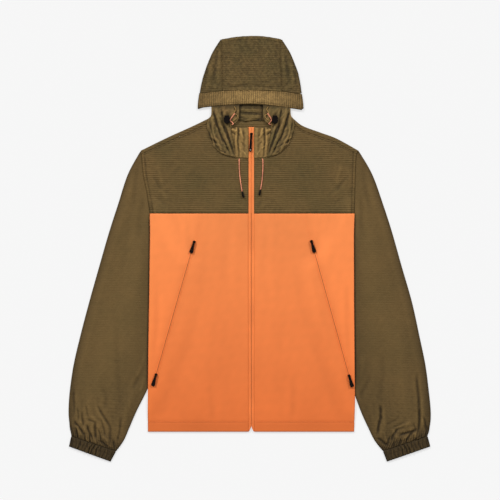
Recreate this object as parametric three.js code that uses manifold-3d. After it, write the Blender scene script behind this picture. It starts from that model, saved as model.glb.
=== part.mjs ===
import * as THREE from 'three';
import { mergeVertices } from 'three/addons/utils/BufferGeometryUtils.js';
import Module from 'manifold-3d';

// Hooded windbreaker laid flat on its back, front up, hood opened out above the neck.
// Millimetres, +X to the viewer's right, +Y towards the hood, +Z up from the surface.
// Left and right are the viewer's.

const wasm = await Module();
wasm.setup();

// Cloth: one wall is one layer of shell with its seam allowance
const wall = 1.2;
const air = 1.0;
const twoLayers = 2 * wall + air;
const seamGap = 0.3;
const tuckedSleeve = 3.0;
const liftReach = { upper: 60, lower: 40 };
const sleevePuff = 2.2;
const frontPuff = 1.2;
const hoodAtTop = twoLayers;
const hoodAtBrim = 5.8;
const cuffHeight = 4.6;
const cuffGathers = 15;
const cuffGatherDepth = 0.6;

// Levels across the body
const zipCentre = 4.5;
const zipWidth = 16;
const zipTop = 286;
const yokeSeam = 83;
const hem = -427;
const hoodBack = 300;
const shoulderWrap = 11;

// Outline and seams, one row for each level: x at the left and at the right
const bodyEdge = [
  { y: 83, left: -234, right: 247 },
  { y: 33, left: -233.5, right: 245.5 },
  { y: -125, left: -235.5, right: 246 },
  { y: -237, left: -238, right: 247 },
  { y: -355, left: -240, right: 248 },
  { y: -427, left: -240.5, right: 246 },
];
const armhole = [
  { y: 222, left: -254.3, right: 252.5 },
  { y: 209, left: -253, right: 250.5 },
  { y: 171, left: -249, right: 249 },
  { y: 131, left: -241, right: 248 },
  { y: 83, left: -234, right: 247 },
  { y: 33, left: -219, right: 231 },
  { y: -12, left: -191, right: 199 },
  { y: -40, left: -158, right: 161 },
];
const sideSeam = [
  { y: -40, left: -158, right: 161 },
  { y: -427, left: -170, right: 172 },
];
const sleeveOuter = [
  { y: 231, left: -255, right: 256 },
  { y: 176, left: -285, right: 288 },
  { y: 105, left: -308.5, right: 314 },
  { y: 40, left: -329.5, right: 335 },
  { y: -38, left: -352, right: 357 },
  { y: -125, left: -376.5, right: 382 },
  { y: -207, left: -398, right: 400 },
  { y: -272, left: -413, right: 413.5 },
  { y: -333, left: -422, right: 421.5 },
  { y: -380, left: -425, right: 426 },
  { y: -411, left: -423, right: 425 },
  { y: -440, left: -419, right: 419 },
];
const sleeveInner = [
  { y: -40, left: -158, right: 161 },
  { y: -82, left: -162, right: 165 },
  { y: -125, left: -170, right: 173 },
  { y: -172, left: -183, right: 186 },
  { y: -223, left: -198, right: 201 },
  { y: -275, left: -217, right: 221 },
  { y: -331, left: -240, right: 243 },
  { y: -380, left: -264.5, right: 261 },
  { y: -418, left: -281, right: 278 },
  { y: -450, left: -295, right: 294 },
  { y: -475, left: -312.5, right: 313.5 },
];
const cuffEnd = [
  { y: -464, left: -424, right: 425 },
  { y: -499.5, left: -326, right: 323 },
];
const shoulder = [
  { y: 306, left: -97, right: 103.5 },
  { y: 289, left: -132, right: 125.5 },
  { y: 273, left: -167.5, right: 168 },
  { y: 259, left: -198, right: 205.5 },
  { y: 231, left: -255, right: 256 },
];
const neckSide = [
  { y: 294, left: -99.5, right: 105.5 },
  { y: 283, left: -99, right: 105 },
  { y: 266, left: -95.5, right: 103 },
  { y: 242, left: -84.5, right: 89.5 },
];
const neckFront = [
  { y: 242, left: -84.5, right: 89.5 },
  { y: 223.5, left: -64, right: 67.5 },
  { y: 215, left: -33, right: 41.5 },
];
const neckToZip = [
  { y: 215, left: -33, right: 41.5 },
  { y: 212.5, left: -3.5, right: 12.5 },
];
const hoodOutline = [
  { y: 491, left: -69, right: 77 },
  { y: 482, left: -74.5, right: 83 },
  { y: 462, left: -87, right: 95.5 },
  { y: 443, left: -95.5, right: 104 },
  { y: 415, left: -106.5, right: 115 },
  { y: 387, left: -115, right: 121.5 },
  { y: 366, left: -119, right: 125 },
];
const brimEdge = [
  { y: 363.8, left: -119, right: 125 },
  { y: 345, left: -120.2, right: 127 },
  { y: 330, left: -120, right: 127.2 },
];
const crownSeam = [
  { y: 488, left: -66, right: 74.5 },
  { y: 443, left: -64.3, right: 72.5 },
  { y: 408, left: -63.6, right: 75 },
  { y: 370, left: -63, right: 76.3 },
];
const crownUnderSeam = [
  { y: 488, left: -66, right: 74.5 },
  { y: 300, left: -50, right: 58 },
];
const hoodTop = [
  { x: -66, y: 491.5 },
  { x: -52, y: 496 },
  { x: -31, y: 498.7 },
  { x: 4, y: 499.7 },
  { x: 39, y: 498.7 },
  { x: 60, y: 496 },
  { x: 74.5, y: 491.5 },
];
const brimSeam = [
  { x: -118.5, y: 364.5 },
  { x: -63, y: 369.8 },
  { x: 4, y: 371.5 },
  { x: 76.3, y: 368.3 },
  { x: 124.8, y: 362 },
];
const brimLower = [
  { x: -119.5, y: 331.5 },
  { x: -89, y: 334 },
  { x: -45, y: 338 },
  { x: 4.5, y: 339.8 },
  { x: 47, y: 336.8 },
  { x: 95, y: 331 },
  { x: 126.5, y: 327.7 },
];
const flapSide = [
  { y: 242, left: -84.5, right: 89.5 },
  { y: 266, left: -95.5, right: 103 },
  { y: 283, left: -99, right: 105 },
  { y: 294, left: -99.5, right: 105.5 },
  { y: 305, left: -97, right: 103.5 },
  { y: 314, left: -90, right: 97.5 },
  { y: 340, left: -89.4, right: 96.5 },
  { y: 362, left: -89.4, right: 96.5 },
];
const flapOpening = [
  { y: 282, left: -43, right: 51.5 },
  { y: 291, left: -38.5, right: 48 },
  { y: 300, left: -28.5, right: 36.5 },
  { y: 314, left: -24, right: 32.4 },
  { y: 362, left: -24.4, right: 32.4 },
];
const chinSeam = [
  { y: 215, left: -33, right: 41.5 },
  { y: 244, left: -37.5, right: 46 },
  { y: 282, left: -43, right: 51.5 },
];
const chinTop = [
  { y: 282, left: -43, right: 51.5 },
  { y: 284.8, left: -31, right: 40 },
  { y: 283.5, left: -17, right: 26 },
  { y: 286, left: -3.5, right: 12.5 },
];
const hoodUnderHem = [
  { y: 366, left: -119, right: 125 },
  { y: 364, left: -109, right: 116 },
  { y: 356, left: -101, right: 108 },
  { y: 335, left: -99, right: 106 },
  { y: 318, left: -89.5, right: 97 },
  { y: 303, left: -82, right: 90 },
  { y: 300, left: -66, right: 74 },
  { y: 300, left: -50, right: 58 },
];

// Largest folds: a soft ridge (or trough, where the height is negative) along a line
const sleeveFolds = {
  left: [
    { fromX: -268, fromY: 170, toX: -318, toY: 20, width: 16, height: 0.7 },
    { fromX: -300, fromY: -60, toX: -330, toY: -200, width: 16, height: -0.6 },
    { fromX: -310, fromY: -190, toX: -305, toY: -385, width: 16, height: -0.9 },
    { fromX: -345, fromY: -250, toX: -385, toY: -420, width: 13, height: 0.9 },
    { fromX: -352, fromY: -370, toX: -328, toY: -425, width: 9, height: -1.1 },
    { fromX: -382, fromY: -390, toX: -362, toY: -440, width: 9, height: -1.0 },
    { fromX: -262, fromY: -255, toX: -240, toY: -300, width: 11, height: 0.8 },
  ],
  right: [
    { fromX: 272, fromY: 170, toX: 322, toY: 20, width: 16, height: 0.7 },
    { fromX: 305, fromY: -60, toX: 335, toY: -200, width: 16, height: -0.6 },
    { fromX: 395, fromY: -312, toX: 395, toY: -430, width: 11, height: -1.1 },
    { fromX: 345, fromY: -200, toX: 368, toY: -390, width: 15, height: 0.9 },
    { fromX: 309, fromY: -372, toX: 300, toY: -440, width: 9, height: -1.0 },
    { fromX: 386, fromY: -420, toX: 345, toY: -444, width: 9, height: 0.9 },
    { fromX: 268, fromY: -260, toX: 250, toY: -320, width: 11, height: 0.8 },
  ],
};
const frontFolds = [
  { fromX: -120, fromY: -60, toX: -130, toY: -400, width: 26, height: 0.8 },
  { fromX: -60, fromY: 60, toX: -56, toY: -380, width: 22, height: -0.5 },
  { fromX: 70, fromY: 60, toX: 66, toY: -380, width: 22, height: -0.5 },
  { fromX: 132, fromY: -60, toX: 142, toY: -400, width: 26, height: 0.8 },
];
const collarFolds = [
  { fromX: -88, fromY: 320, toX: -62, toY: 227, width: 4.5, height: 1.1 },
  { fromX: -78, fromY: 318, toX: -39, toY: 224, width: 4.5, height: 1.2 },
  { fromX: -66, fromY: 326, toX: -55, toY: 296, width: 4.5, height: 1.0 },
  { fromX: -97, fromY: 277, toX: -87, toY: 242, width: 4.5, height: 0.8 },
  { fromX: -50, fromY: 290, toX: -35, toY: 226, width: 4, height: 0.9 },
  { fromX: 93, fromY: 321, toX: 72, toY: 232, width: 4.5, height: 1.1 },
  { fromX: 82, fromY: 318, toX: 48, toY: 226, width: 4.5, height: 1.2 },
  { fromX: 72, fromY: 326, toX: 62, toY: 296, width: 4.5, height: 1.0 },
  { fromX: 103, fromY: 277, toX: 94, toY: 242, width: 4.5, height: 0.8 },
  { fromX: 58, fromY: 290, toX: 44, toY: 226, width: 4, height: 0.9 },
];
const hoodFolds = [
  { fromX: -90, fromY: 440, toX: -98, toY: 380, width: 10, height: 0.8 },
  { fromX: 96, fromY: 440, toX: 104, toY: 380, width: 10, height: 0.8 },
  { fromX: -30, fromY: 480, toX: -34, toY: 392, width: 14, height: 0.5 },
  { fromX: 38, fromY: 480, toX: 42, toY: 392, width: 14, height: 0.5 },
];

// Zips, cords and their fittings
const pocketZips = [
  { name: 'left', headX: -128.5, headY: 19.7, footX: -226.5, footY: -321.5 },
  { name: 'right', headX: 144.5, headY: 21, footX: 241, footY: -324 },
];
const pocketZipWidth = 5;
const pocketZipThick = 1.0;
const pocketPull = { length: 26, headWidth: 5.4, tailWidth: 9, thick: 1.4 };
const mainPull = { length: 40, headWidth: 5.4, tailWidth: 6.4, thick: 1.6 };
const mainSliderY = 268;
const mainPullLean = 3.5;
const cordDiameter = 2.6;
const tipDiameter = 5;
const drawcords = {
  left: [
    { x: -23.7, y: 211.5 }, { x: -24, y: 201 }, { x: -23.2, y: 180 }, { x: -20.8, y: 157 },
    { x: -17, y: 134.5 },
  ],
  right: [
    { x: 31, y: 211.5 }, { x: 31.7, y: 201 }, { x: 31.2, y: 180 }, { x: 29.1, y: 157 },
    { x: 26, y: 139 },
  ],
};
const cordTips = {
  left: { fromX: -16.7, fromY: 134, toX: -13.6, toY: 120.2 },
  right: { fromX: 25.9, fromY: 138.5, toX: 23.3, toY: 125.8 },
};
const cordLock = { x: { left: -52.8, right: 60.1 }, y: 303, length: 19, width: 14, height: 8 };

const sides = [
  { name: 'left', sign: -1 },
  { name: 'right', sign: 1 },
];

const olive = { color: '#675434', roughness: 0.8, metalness: 0 };
const sand = { color: '#80673e', roughness: 0.8, metalness: 0 };
const orange = { color: '#eb8147', roughness: 0.72, metalness: 0 };
const tapeOrange = { color: '#f8985c', roughness: 0.6, metalness: 0 };
const blackPlastic = { color: '#161616', roughness: 0.45, metalness: 0 };
const coral = { color: '#c4633a', roughness: 0.7, metalness: 0 };

const jacket = new THREE.Group();

// The upper surfaces that other pieces lie on, by name
const surfaces = {};

function addMesh(name, geometry, finish, parent = jacket) {
  const mesh = new THREE.Mesh(geometry, new THREE.MeshStandardMaterial(finish));
  mesh.name = name;
  parent.add(mesh);
  return mesh;
}

// Curves, heights and folds

function smooth(value, low, high) {
  const t = Math.min(1, Math.max(0, (value - low) / (high - low)));
  return t * t * (3 - 2 * t);
}

function xAt(table, side, y) {
  const rows = [...table].sort((a, b) => a.y - b.y);
  if (y <= rows[0].y) return rows[0][side];
  for (let i = 1; i < rows.length; i += 1) {
    if (y <= rows[i].y) {
      const t = (y - rows[i - 1].y) / (rows[i].y - rows[i - 1].y);
      return rows[i - 1][side] + t * (rows[i][side] - rows[i - 1][side]);
    }
  }
  return rows[rows.length - 1][side];
}

function run(table, steps, side) {
  const points = table.map((row) => new THREE.Vector2(side ? row[side] : row.x, row.y));
  return new THREE.SplineCurve(points).getSpacedPoints(steps);
}

function straight(fromX, fromY, toX, toY, steps) {
  const line = new THREE.LineCurve(new THREE.Vector2(fromX, fromY), new THREE.Vector2(toX, toY));
  return line.getSpacedPoints(steps);
}

function joined(...runs) {
  return runs.reduce((all, next) => all.concat(next.slice(1)));
}

function reversed(points) {
  return [...points].reverse();
}

// Draws the two ends of a run in, to leave room for what they meet
function shortened(points, amount = 1.4) {
  const last = points.length - 1;
  const result = points.map((point) => point.clone());
  result[0].add(points[1].clone().sub(points[0]).setLength(amount));
  result[last].add(points[last - 1].clone().sub(points[last]).setLength(amount));
  return result;
}

function foldHeight(folds, x, y) {
  let height = 0;
  for (const fold of folds) {
    const alongX = fold.toX - fold.fromX;
    const alongY = fold.toY - fold.fromY;
    const length = Math.hypot(alongX, alongY);
    const along = ((x - fold.fromX) * alongX + (y - fold.fromY) * alongY) / (length * length);
    const aside = ((x - fold.fromX) * alongY - (y - fold.fromY) * alongX) / length;
    const ends = smooth(along, -0.15, 0.2) * (1 - smooth(along, 0.8, 1.15));
    height += fold.height * ends * Math.exp(-((aside / fold.width) ** 2));
  }
  return height;
}

// How far a layer of the body is raised by the sleeve that is tucked under its side
function liftOverSleeve(side, x, y, reach) {
  const sign = side === 'left' ? -1 : 1;
  const edge = xAt(y > -40 ? armhole : sleeveInner, side, y);
  const past = (x - edge) * sign;
  const fade = smooth(y, -431, -370) * (1 - smooth(y, 88, 138));
  return (tuckedSleeve + 2 * seamGap) * smooth(past, -reach, -16) * fade;
}

function frontTop(side, x, y) {
  const edge = Math.abs(xAt(bodyEdge, side, y) - zipCentre);
  const across = Math.min(1, Math.abs(x - zipCentre) / edge);
  const puff = frontPuff * Math.sin(Math.PI * across) ** 2;
  const folds = foldHeight(frontFolds, x, y);
  return twoLayers + liftOverSleeve(side, x, y, liftReach.upper) + (puff + folds) * smooth(y, -431, -380);
}

function yokeTop(side, x, y) {
  const sign = side === 'left' ? -1 : 1;
  const fromArmhole = (xAt(armhole, side, y) - x) * sign;
  const lift = liftOverSleeve(side, x, y, liftReach.upper) * smooth(fromArmhole, 0, 14);
  const edge = Math.abs(xAt(bodyEdge, side, yokeSeam) - zipCentre);
  const across = Math.min(1, Math.abs(x - zipCentre) / edge);
  const puff = frontPuff * Math.sin(Math.PI * across) ** 2 * (1 - smooth(y, 120, 215));
  const folds = foldHeight(frontFolds, x, y);
  return twoLayers + lift + puff + folds;
}

function sleeveTop(side, x, y) {
  const sign = side === 'left' ? -1 : 1;
  const free = y > yokeSeam ? xAt(armhole, side, y) : xAt(bodyEdge, side, y);
  const clear = smooth((x - free) * sign, 9, 48);
  const inside = smooth((x - xAt(sleeveInner, side, y)) * sign, 2, 28);
  const outside = smooth((xAt(sleeveOuter, side, y) - x) * sign, 2, 28);
  const atCuff = smooth(y, -500, -380);
  const base = tuckedSleeve + (twoLayers - tuckedSleeve) * smooth(y, 95, 150);
  const puff = sleevePuff + foldHeight(sleeveFolds[side], x, y);
  return base + clear * inside * outside * puff * (0.5 + 0.5 * atCuff);
}

function hoodTopHeight(x, y) {
  const down = smooth(-y, -492, -372);
  return hoodAtTop + (hoodAtBrim - hoodAtTop) * down + foldHeight(hoodFolds, x, y) * smooth(y, 372, 400);
}

function collarTop(x, y) {
  const fromNeck = smooth(y, 216, 300);
  const underBrim = 1 - smooth(y, 322, 342);
  return twoLayers + 0.4 * fromNeck + foldHeight(collarFolds, x, y) * underBrim;
}

// Walls of cloth

// A patch between four runs of points, as rows of points in plan
function patch({ bottom, top, left, right }) {
  const across = bottom.length - 1;
  const up = left.length - 1;
  const grid = [];
  for (let i = 0; i <= across; i += 1) {
    const u = i / across;
    const column = [];
    for (let j = 0; j <= up; j += 1) {
      const v = j / up;
      const blend = (axis) => (1 - v) * bottom[i][axis] + v * top[i][axis]
        + (1 - u) * left[j][axis] + u * right[j][axis]
        - (1 - u) * (1 - v) * bottom[0][axis] - u * (1 - v) * bottom[across][axis]
        - (1 - u) * v * top[0][axis] - u * v * top[across][axis];
      column.push(new THREE.Vector2(blend('x'), blend('y')));
    }
    grid.push(column);
  }
  return grid;
}

// Moves chosen edges of a patch inwards by half the gap of a seam
function trimmed(grid, edges = ['bottom', 'top', 'left', 'right']) {
  const across = grid.length - 1;
  const up = grid[0].length - 1;
  const moved = grid.map((column) => column.map((point) => point.clone()));
  const shift = (i, j, nextI, nextJ, inI, inJ) => {
    const a = grid[Math.max(0, i - nextI)][Math.max(0, j - nextJ)];
    const b = grid[Math.min(across, i + nextI)][Math.min(up, j + nextJ)];
    const normal = new THREE.Vector2(-(b.y - a.y), b.x - a.x).normalize();
    const inward = grid[inI][inJ].clone().sub(grid[i][j]);
    if (normal.dot(inward) < 0) normal.negate();
    moved[i][j].addScaledVector(normal, seamGap / 2);
  };
  for (let i = 0; i <= across; i += 1) {
    if (edges.includes('bottom')) shift(i, 0, 1, 0, i, 1);
    if (edges.includes('top')) shift(i, up, 1, 0, i, up - 1);
  }
  for (let j = 0; j <= up; j += 1) {
    if (edges.includes('left')) shift(0, j, 0, 1, 1, j);
    if (edges.includes('right')) shift(across, j, 0, 1, across - 1, j);
  }
  return moved;
}

// A closed wall from columns of { outer, inner } points; a ring has no side rims
function wallGeometry(columns, ring = false) {
  const across = columns.length;
  const up = columns[0].length;
  const positions = [];
  for (const column of columns) {
    for (const { outer, inner } of column) positions.push(...outer, ...inner);
  }
  const at = (i, j, layer) => 2 * ((i % across) * up + j) + layer;
  const index = [];
  const quad = (a, b, c, d) => index.push(a, b, c, a, c, d);
  const spans = ring ? across : across - 1;
  for (let i = 0; i < spans; i += 1) {
    for (let j = 0; j < up - 1; j += 1) {
      quad(at(i, j, 0), at(i + 1, j, 0), at(i + 1, j + 1, 0), at(i, j + 1, 0));
      quad(at(i, j, 1), at(i, j + 1, 1), at(i + 1, j + 1, 1), at(i + 1, j, 1));
    }
    quad(at(i, 0, 1), at(i + 1, 0, 1), at(i + 1, 0, 0), at(i, 0, 0));
    quad(at(i, up - 1, 0), at(i + 1, up - 1, 0), at(i + 1, up - 1, 1), at(i, up - 1, 1));
  }
  if (!ring) {
    for (let j = 0; j < up - 1; j += 1) {
      quad(at(0, j, 0), at(0, j + 1, 0), at(0, j + 1, 1), at(0, j, 1));
      quad(at(across - 1, j, 1), at(across - 1, j + 1, 1), at(across - 1, j + 1, 0), at(across - 1, j, 0));
    }
  }
  const geometry = new THREE.BufferGeometry();
  geometry.setAttribute('position', new THREE.Float32BufferAttribute(positions, 3));
  geometry.setIndex(index);
  return facingOut(geometry);
}

function facingOut(geometry) {
  const position = geometry.getAttribute('position');
  const index = geometry.getIndex();
  const corner = (k) => new THREE.Vector3().fromBufferAttribute(position, index.getX(k));
  let volume = 0;
  for (let k = 0; k < index.count; k += 3) {
    volume += corner(k).dot(corner(k + 1).cross(corner(k + 2)));
  }
  if (volume < 0) {
    for (let k = 0; k < index.count; k += 3) {
      const kept = index.getX(k + 1);
      index.setX(k + 1, index.getX(k + 2));
      index.setX(k + 2, kept);
    }
  }
  geometry.computeVertexNormals();
  return geometry;
}

function upper(point, height) {
  return { outer: [point.x, point.y, height], inner: [point.x, point.y, height - wall] };
}

function lower(point, height) {
  return { outer: [point.x, point.y, height], inner: [point.x, point.y, height + wall] };
}

function upperSheet(grid, heightAt) {
  return grid.map((column) => column.map((point) => upper(point, heightAt(point.x, point.y))));
}

function lowerSheet(grid, heightAt) {
  return grid.map((column) => column.map((point) => lower(point, heightAt(point.x, point.y))));
}

// The columns that turn a folded edge, from the top layer down to the lower one
function turn(topColumn, lowColumn, before) {
  const steps = 4;
  const columns = [];
  for (let step = 1; step < steps; step += 1) {
    const angle = (Math.PI * step) / steps;
    columns.push(topColumn.map((above, j) => {
      const below = lowColumn[j];
      const a = before[Math.max(0, j - 1)];
      const b = before[Math.min(before.length - 1, j + 1)];
      const outward = new THREE.Vector2(b.y - a.y, -(b.x - a.x)).normalize();
      if (outward.dot(before[j].clone().sub(before.inside[j])) < 0) outward.negate();
      const middle = (above.outer[2] + below.outer[2]) / 2;
      const radius = (above.outer[2] - below.outer[2]) / 2;
      const around = (r) => [
        above.outer[0] + outward.x * r * Math.sin(angle),
        above.outer[1] + outward.y * r * Math.sin(angle),
        middle + r * Math.cos(angle),
      ];
      return { outer: around(radius), inner: around(radius - wall) };
    }));
  }
  return columns;
}

// A line of fold centres with, beside it, points that lie inside the piece
function foldLine(points, inside) {
  const line = points.map((point) => point.clone());
  line.inside = inside;
  return line;
}

// Moves a run of points square to itself, towards a point inside
function insetRun(points, distanceAt, insidePoint) {
  return points.map((point, j) => {
    const a = points[Math.max(0, j - 1)];
    const b = points[Math.min(points.length - 1, j + 1)];
    const normal = new THREE.Vector2(-(b.y - a.y), b.x - a.x).normalize();
    if (normal.dot(insidePoint.clone().sub(point)) < 0) normal.negate();
    return point.clone().addScaledVector(normal, distanceAt(point));
  });
}

// A tube pressed flat: a patch between two folds, an upper layer and a lower one
function flatTube(grid, topAt, bottomStep = 1) {
  const last = grid.length - 1;
  const top = upperSheet(grid, topAt);
  const bottomColumns = grid.filter((column, i) => i % bottomStep === 0 || i === last);
  const bottom = lowerSheet(bottomColumns, () => 0);
  const farFold = turn(top[last], bottom[bottom.length - 1], foldLine(grid[last], grid[last - 1]));
  const nearFold = turn(top[0], bottom[0], foldLine(grid[0], grid[1]));
  return wallGeometry([...top, ...farFold, ...reversed(bottom), ...reversed(nearFold)], true);
}

// A panel that turns round one fold: upper layer, fold, lower layer
function foldedPanel(topGrid, lowGrid, topAt, lowAt) {
  const last = topGrid.length - 1;
  const top = upperSheet(topGrid, topAt);
  const low = lowerSheet(lowGrid, lowAt);
  const fold = turn(top[last], low[0], foldLine(topGrid[last], topGrid[last - 1]));
  return wallGeometry([...top, ...fold, ...low]);
}

// The height of a panel's own upper surface at a place
function heightOn(columns, x, y) {
  let height = -Infinity;
  const test = (a, b, c) => {
    const area = (b[0] - a[0]) * (c[1] - a[1]) - (c[0] - a[0]) * (b[1] - a[1]);
    if (Math.abs(area) < 1e-9) return;
    const v = ((x - a[0]) * (c[1] - a[1]) - (c[0] - a[0]) * (y - a[1])) / area;
    const w = ((b[0] - a[0]) * (y - a[1]) - (x - a[0]) * (b[1] - a[1])) / area;
    if (v < -1e-6 || w < -1e-6 || v + w > 1 + 1e-6) return;
    height = Math.max(height, a[2] + v * (b[2] - a[2]) + w * (c[2] - a[2]));
  };
  for (let i = 0; i < columns.length - 1; i += 1) {
    for (let j = 0; j < columns[i].length - 1; j += 1) {
      const a = columns[i][j].outer;
      const c = columns[i + 1][j + 1].outer;
      test(a, columns[i + 1][j].outer, c);
      test(a, c, columns[i][j + 1].outer);
    }
  }
  return height;
}

// The highest place of a panel under a round footprint
function highestUnder(columns, x, y, radius) {
  let height = heightOn(columns, x, y);
  for (let k = 0; k < 8; k += 1) {
    const angle = (Math.PI * k) / 4;
    height = Math.max(height, heightOn(columns, x + radius * Math.cos(angle), y + radius * Math.sin(angle)));
  }
  return height;
}

// Solids that are joined

function solidFrom(geometry) {
  const bare = geometry.index ? geometry.clone() : geometry;
  bare.deleteAttribute('normal');
  bare.deleteAttribute('uv');
  const merged = mergeVertices(bare, 1e-4);
  const vertProperties = new Float32Array(merged.getAttribute('position').array);
  const triVerts = new Uint32Array(merged.getIndex().array);
  return new wasm.Manifold(new wasm.Mesh({ numProp: 3, vertProperties, triVerts }));
}

function geometryFrom(solid) {
  const mesh = solid.getMesh();
  const geometry = new THREE.BufferGeometry();
  geometry.setAttribute('position', new THREE.BufferAttribute(new Float32Array(mesh.vertProperties), 3));
  geometry.setIndex(new THREE.BufferAttribute(new Uint32Array(mesh.triVerts), 1));
  geometry.computeVertexNormals();
  return geometry;
}

function union(geometries) {
  return geometryFrom(geometries.map(solidFrom).reduce((all, next) => all.add(next)));
}

// Body

const sideRows = [83, 70, 50, 25, -8, -40, -75, -115, -160, -210, -265, -325, -375, -427];

function underEdge(side, y) {
  if (y <= -40) return xAt(sideSeam, side, y);
  const sign = side === 'left' ? -1 : 1;
  const edge = xAt(armhole, side, y);
  const limit = xAt(bodyEdge, side, y) - sign * 5;
  return sign * Math.min(sign * edge, sign * limit);
}

function frontPanel({ name, sign }) {
  const zipSide = zipCentre + (sign * zipWidth) / 2;
  const radius = twoLayers / 2;
  const foldCentre = (y) => xAt(bodyEdge, name, y) - sign * radius;
  const acrossTop = 12;
  const acrossUnder = 5;
  const topGrid = [];
  for (let i = 0; i <= acrossTop; i += 1) {
    const u = 1 - (1 - i / acrossTop) ** 1.25;
    topGrid.push(sideRows.map((y) => new THREE.Vector2(zipSide + u * (foldCentre(y) - zipSide), y)));
  }
  const lowGrid = [];
  for (let i = 0; i <= acrossUnder; i += 1) {
    const u = i / acrossUnder;
    lowGrid.push(sideRows.map((y) => {
      const x = foldCentre(y) + u * (underEdge(name, y) - foldCentre(y));
      return new THREE.Vector2(x, y);
    }));
  }
  const topTrimmed = trimmed(topGrid, ['bottom', 'left']);
  const lowTrimmed = trimmed(lowGrid, ['bottom', 'right']);
  const topAt = (x, y) => frontTop(name, x, y);
  const lowAt = (x, y) => liftOverSleeve(name, x, y, liftReach.lower);
  surfaces[`front_${name}`] = upperSheet(topTrimmed, topAt);
  addMesh(`front_${name}`, foldedPanel(topTrimmed, lowTrimmed, topAt, lowAt), orange);
}

const armholeRuns = {
  front: { rows: armhole.slice(0, 5), steps: 6 },
  under: { rows: armhole.slice(4), steps: 7 },
};

function armholeFront(side) {
  return run(armholeRuns.front.rows, armholeRuns.front.steps, side);
}

function armholeUnder(side) {
  return run(armholeRuns.under.rows, armholeRuns.under.steps, side);
}

// The seam of the front yoke, below the shoulder edge
function shoulderSeam(side, steps) {
  const rows = shoulder.map((row) => ({ y: row.y - shoulderWrap, [side]: row[side] }));
  rows[0] = { y: neckSide[0].y, [side]: neckSide[0][side] };
  rows[rows.length - 1] = { y: armhole[0].y, [side]: armhole[0][side] };
  return run(rows, steps, side);
}

function frontYoke({ name, sign }) {
  const zipSide = zipCentre + (sign * zipWidth) / 2;
  const neck = joined(run(neckSide, 4, name), run(neckFront, 8, name), run(neckToZip, 2, name));
  const top = joined(reversed(neck), shoulderSeam(name, 6));
  const side = reversed(armholeFront(name));
  const grid = patch({
    bottom: straight(zipSide, yokeSeam, xAt(armhole, name, yokeSeam), yokeSeam, top.length - 1),
    top,
    left: straight(zipSide, yokeSeam, zipSide, 212.5, side.length - 1),
    right: side,
  });
  const columns = upperSheet(trimmed(grid), (x, y) => yokeTop(name, x, y));
  surfaces[`yoke_${name}`] = columns;
  addMesh(`yoke_front_${name}`, wallGeometry(columns), olive);
}

// The strip of the back yoke that wraps forward over the shoulder
function shoulderStrip({ name }) {
  const steps = 6;
  const radius = twoLayers / 2;
  const inside = new THREE.Vector2(0, 0);
  const edge = shortened(run(shoulder, steps, name));
  const centre = insetRun(edge, () => radius, inside);
  const seam = shortened(shoulderSeam(name, steps));
  const under = insetRun(edge, () => 14, inside);
  const topGrid = [seam, seam.map((point, j) => point.clone().lerp(centre[j], 0.5)), centre];
  const lowGrid = [centre, under];
  const topTrimmed = trimmed(topGrid, ['left', 'bottom', 'top']);
  const lowTrimmed = trimmed(lowGrid, ['bottom', 'top']);
  return foldedPanel(topTrimmed, lowTrimmed, () => twoLayers, () => 0);
}

function backYoke() {
  const inside = new THREE.Vector2(0, 0);
  const shoulderEdge = (side) => insetRun(run(shoulder, 6, side), () => 7, inside);
  const left = reversed(armholeFront('left'));
  const right = reversed(armholeFront('right'));
  const neckLeft = shoulderEdge('left')[0];
  const neckRight = shoulderEdge('right')[0];
  const backNeck = [
    { x: neckLeft.x, y: neckLeft.y },
    { x: -60, y: hoodBack },
    { x: 68, y: hoodBack },
    { x: neckRight.x, y: neckRight.y },
  ];
  const neck = joined(
    straight(neckLeft.x, neckLeft.y, backNeck[1].x, hoodBack, 2),
    straight(backNeck[1].x, hoodBack, backNeck[2].x, hoodBack, 4),
    straight(backNeck[2].x, hoodBack, neckRight.x, neckRight.y, 2),
  );
  const top = joined(reversed(shoulderEdge('left')), neck, shoulderEdge('right'));
  left[left.length - 1] = top[0].clone();
  right[right.length - 1] = top[top.length - 1].clone();
  const grid = patch({
    bottom: straight(left[0].x, yokeSeam, right[0].x, yokeSeam, top.length - 1),
    top,
    left,
    right,
  });
  const sheet = wallGeometry(lowerSheet(trimmed(grid), () => 0));
  addMesh('back_yoke', union([sheet, ...sides.map(shoulderStrip)]), olive);
}

function backLower() {
  const sideRun = (side) => joined(armholeUnder(side), run(sideSeam, 5, side));
  const left = reversed(sideRun('left'));
  const right = reversed(sideRun('right'));
  const steps = 8;
  const grid = patch({
    bottom: straight(left[0].x, hem, right[0].x, hem, steps),
    top: straight(left[left.length - 1].x, yokeSeam, right[right.length - 1].x, yokeSeam, steps),
    left,
    right,
  });
  addMesh('back_lower', wallGeometry(lowerSheet(trimmed(grid), () => 0)), orange);
}

// Sleeves

function sleeve({ name }) {
  const rows = 12;
  const radius = tuckedSleeve / 2;
  const inside = new THREE.Vector2((name === 'left' ? -1 : 1) * 320, -200);
  const crown = joined(run([shoulder[4], armhole[0]], 1, name), armholeFront(name), armholeUnder(name));
  const outer = insetRun(run(sleeveOuter, rows, name), () => radius, inside);
  const inner = insetRun(run(sleeveInner, rows, name), () => radius, inside);
  crown[0] = outer[0].clone();
  crown[crown.length - 1] = inner[0].clone();
  const cuffSeam = straight(outer[rows].x, outer[rows].y, inner[rows].x, inner[rows].y, crown.length - 1);
  const grid = patch({ bottom: crown, top: cuffSeam, left: outer, right: inner });
  const geometry = flatTube(trimmed(grid, ['bottom', 'top']), (x, y) => sleeveTop(name, x, y));
  addMesh(`sleeve_${name}`, geometry, olive);
}

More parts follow.
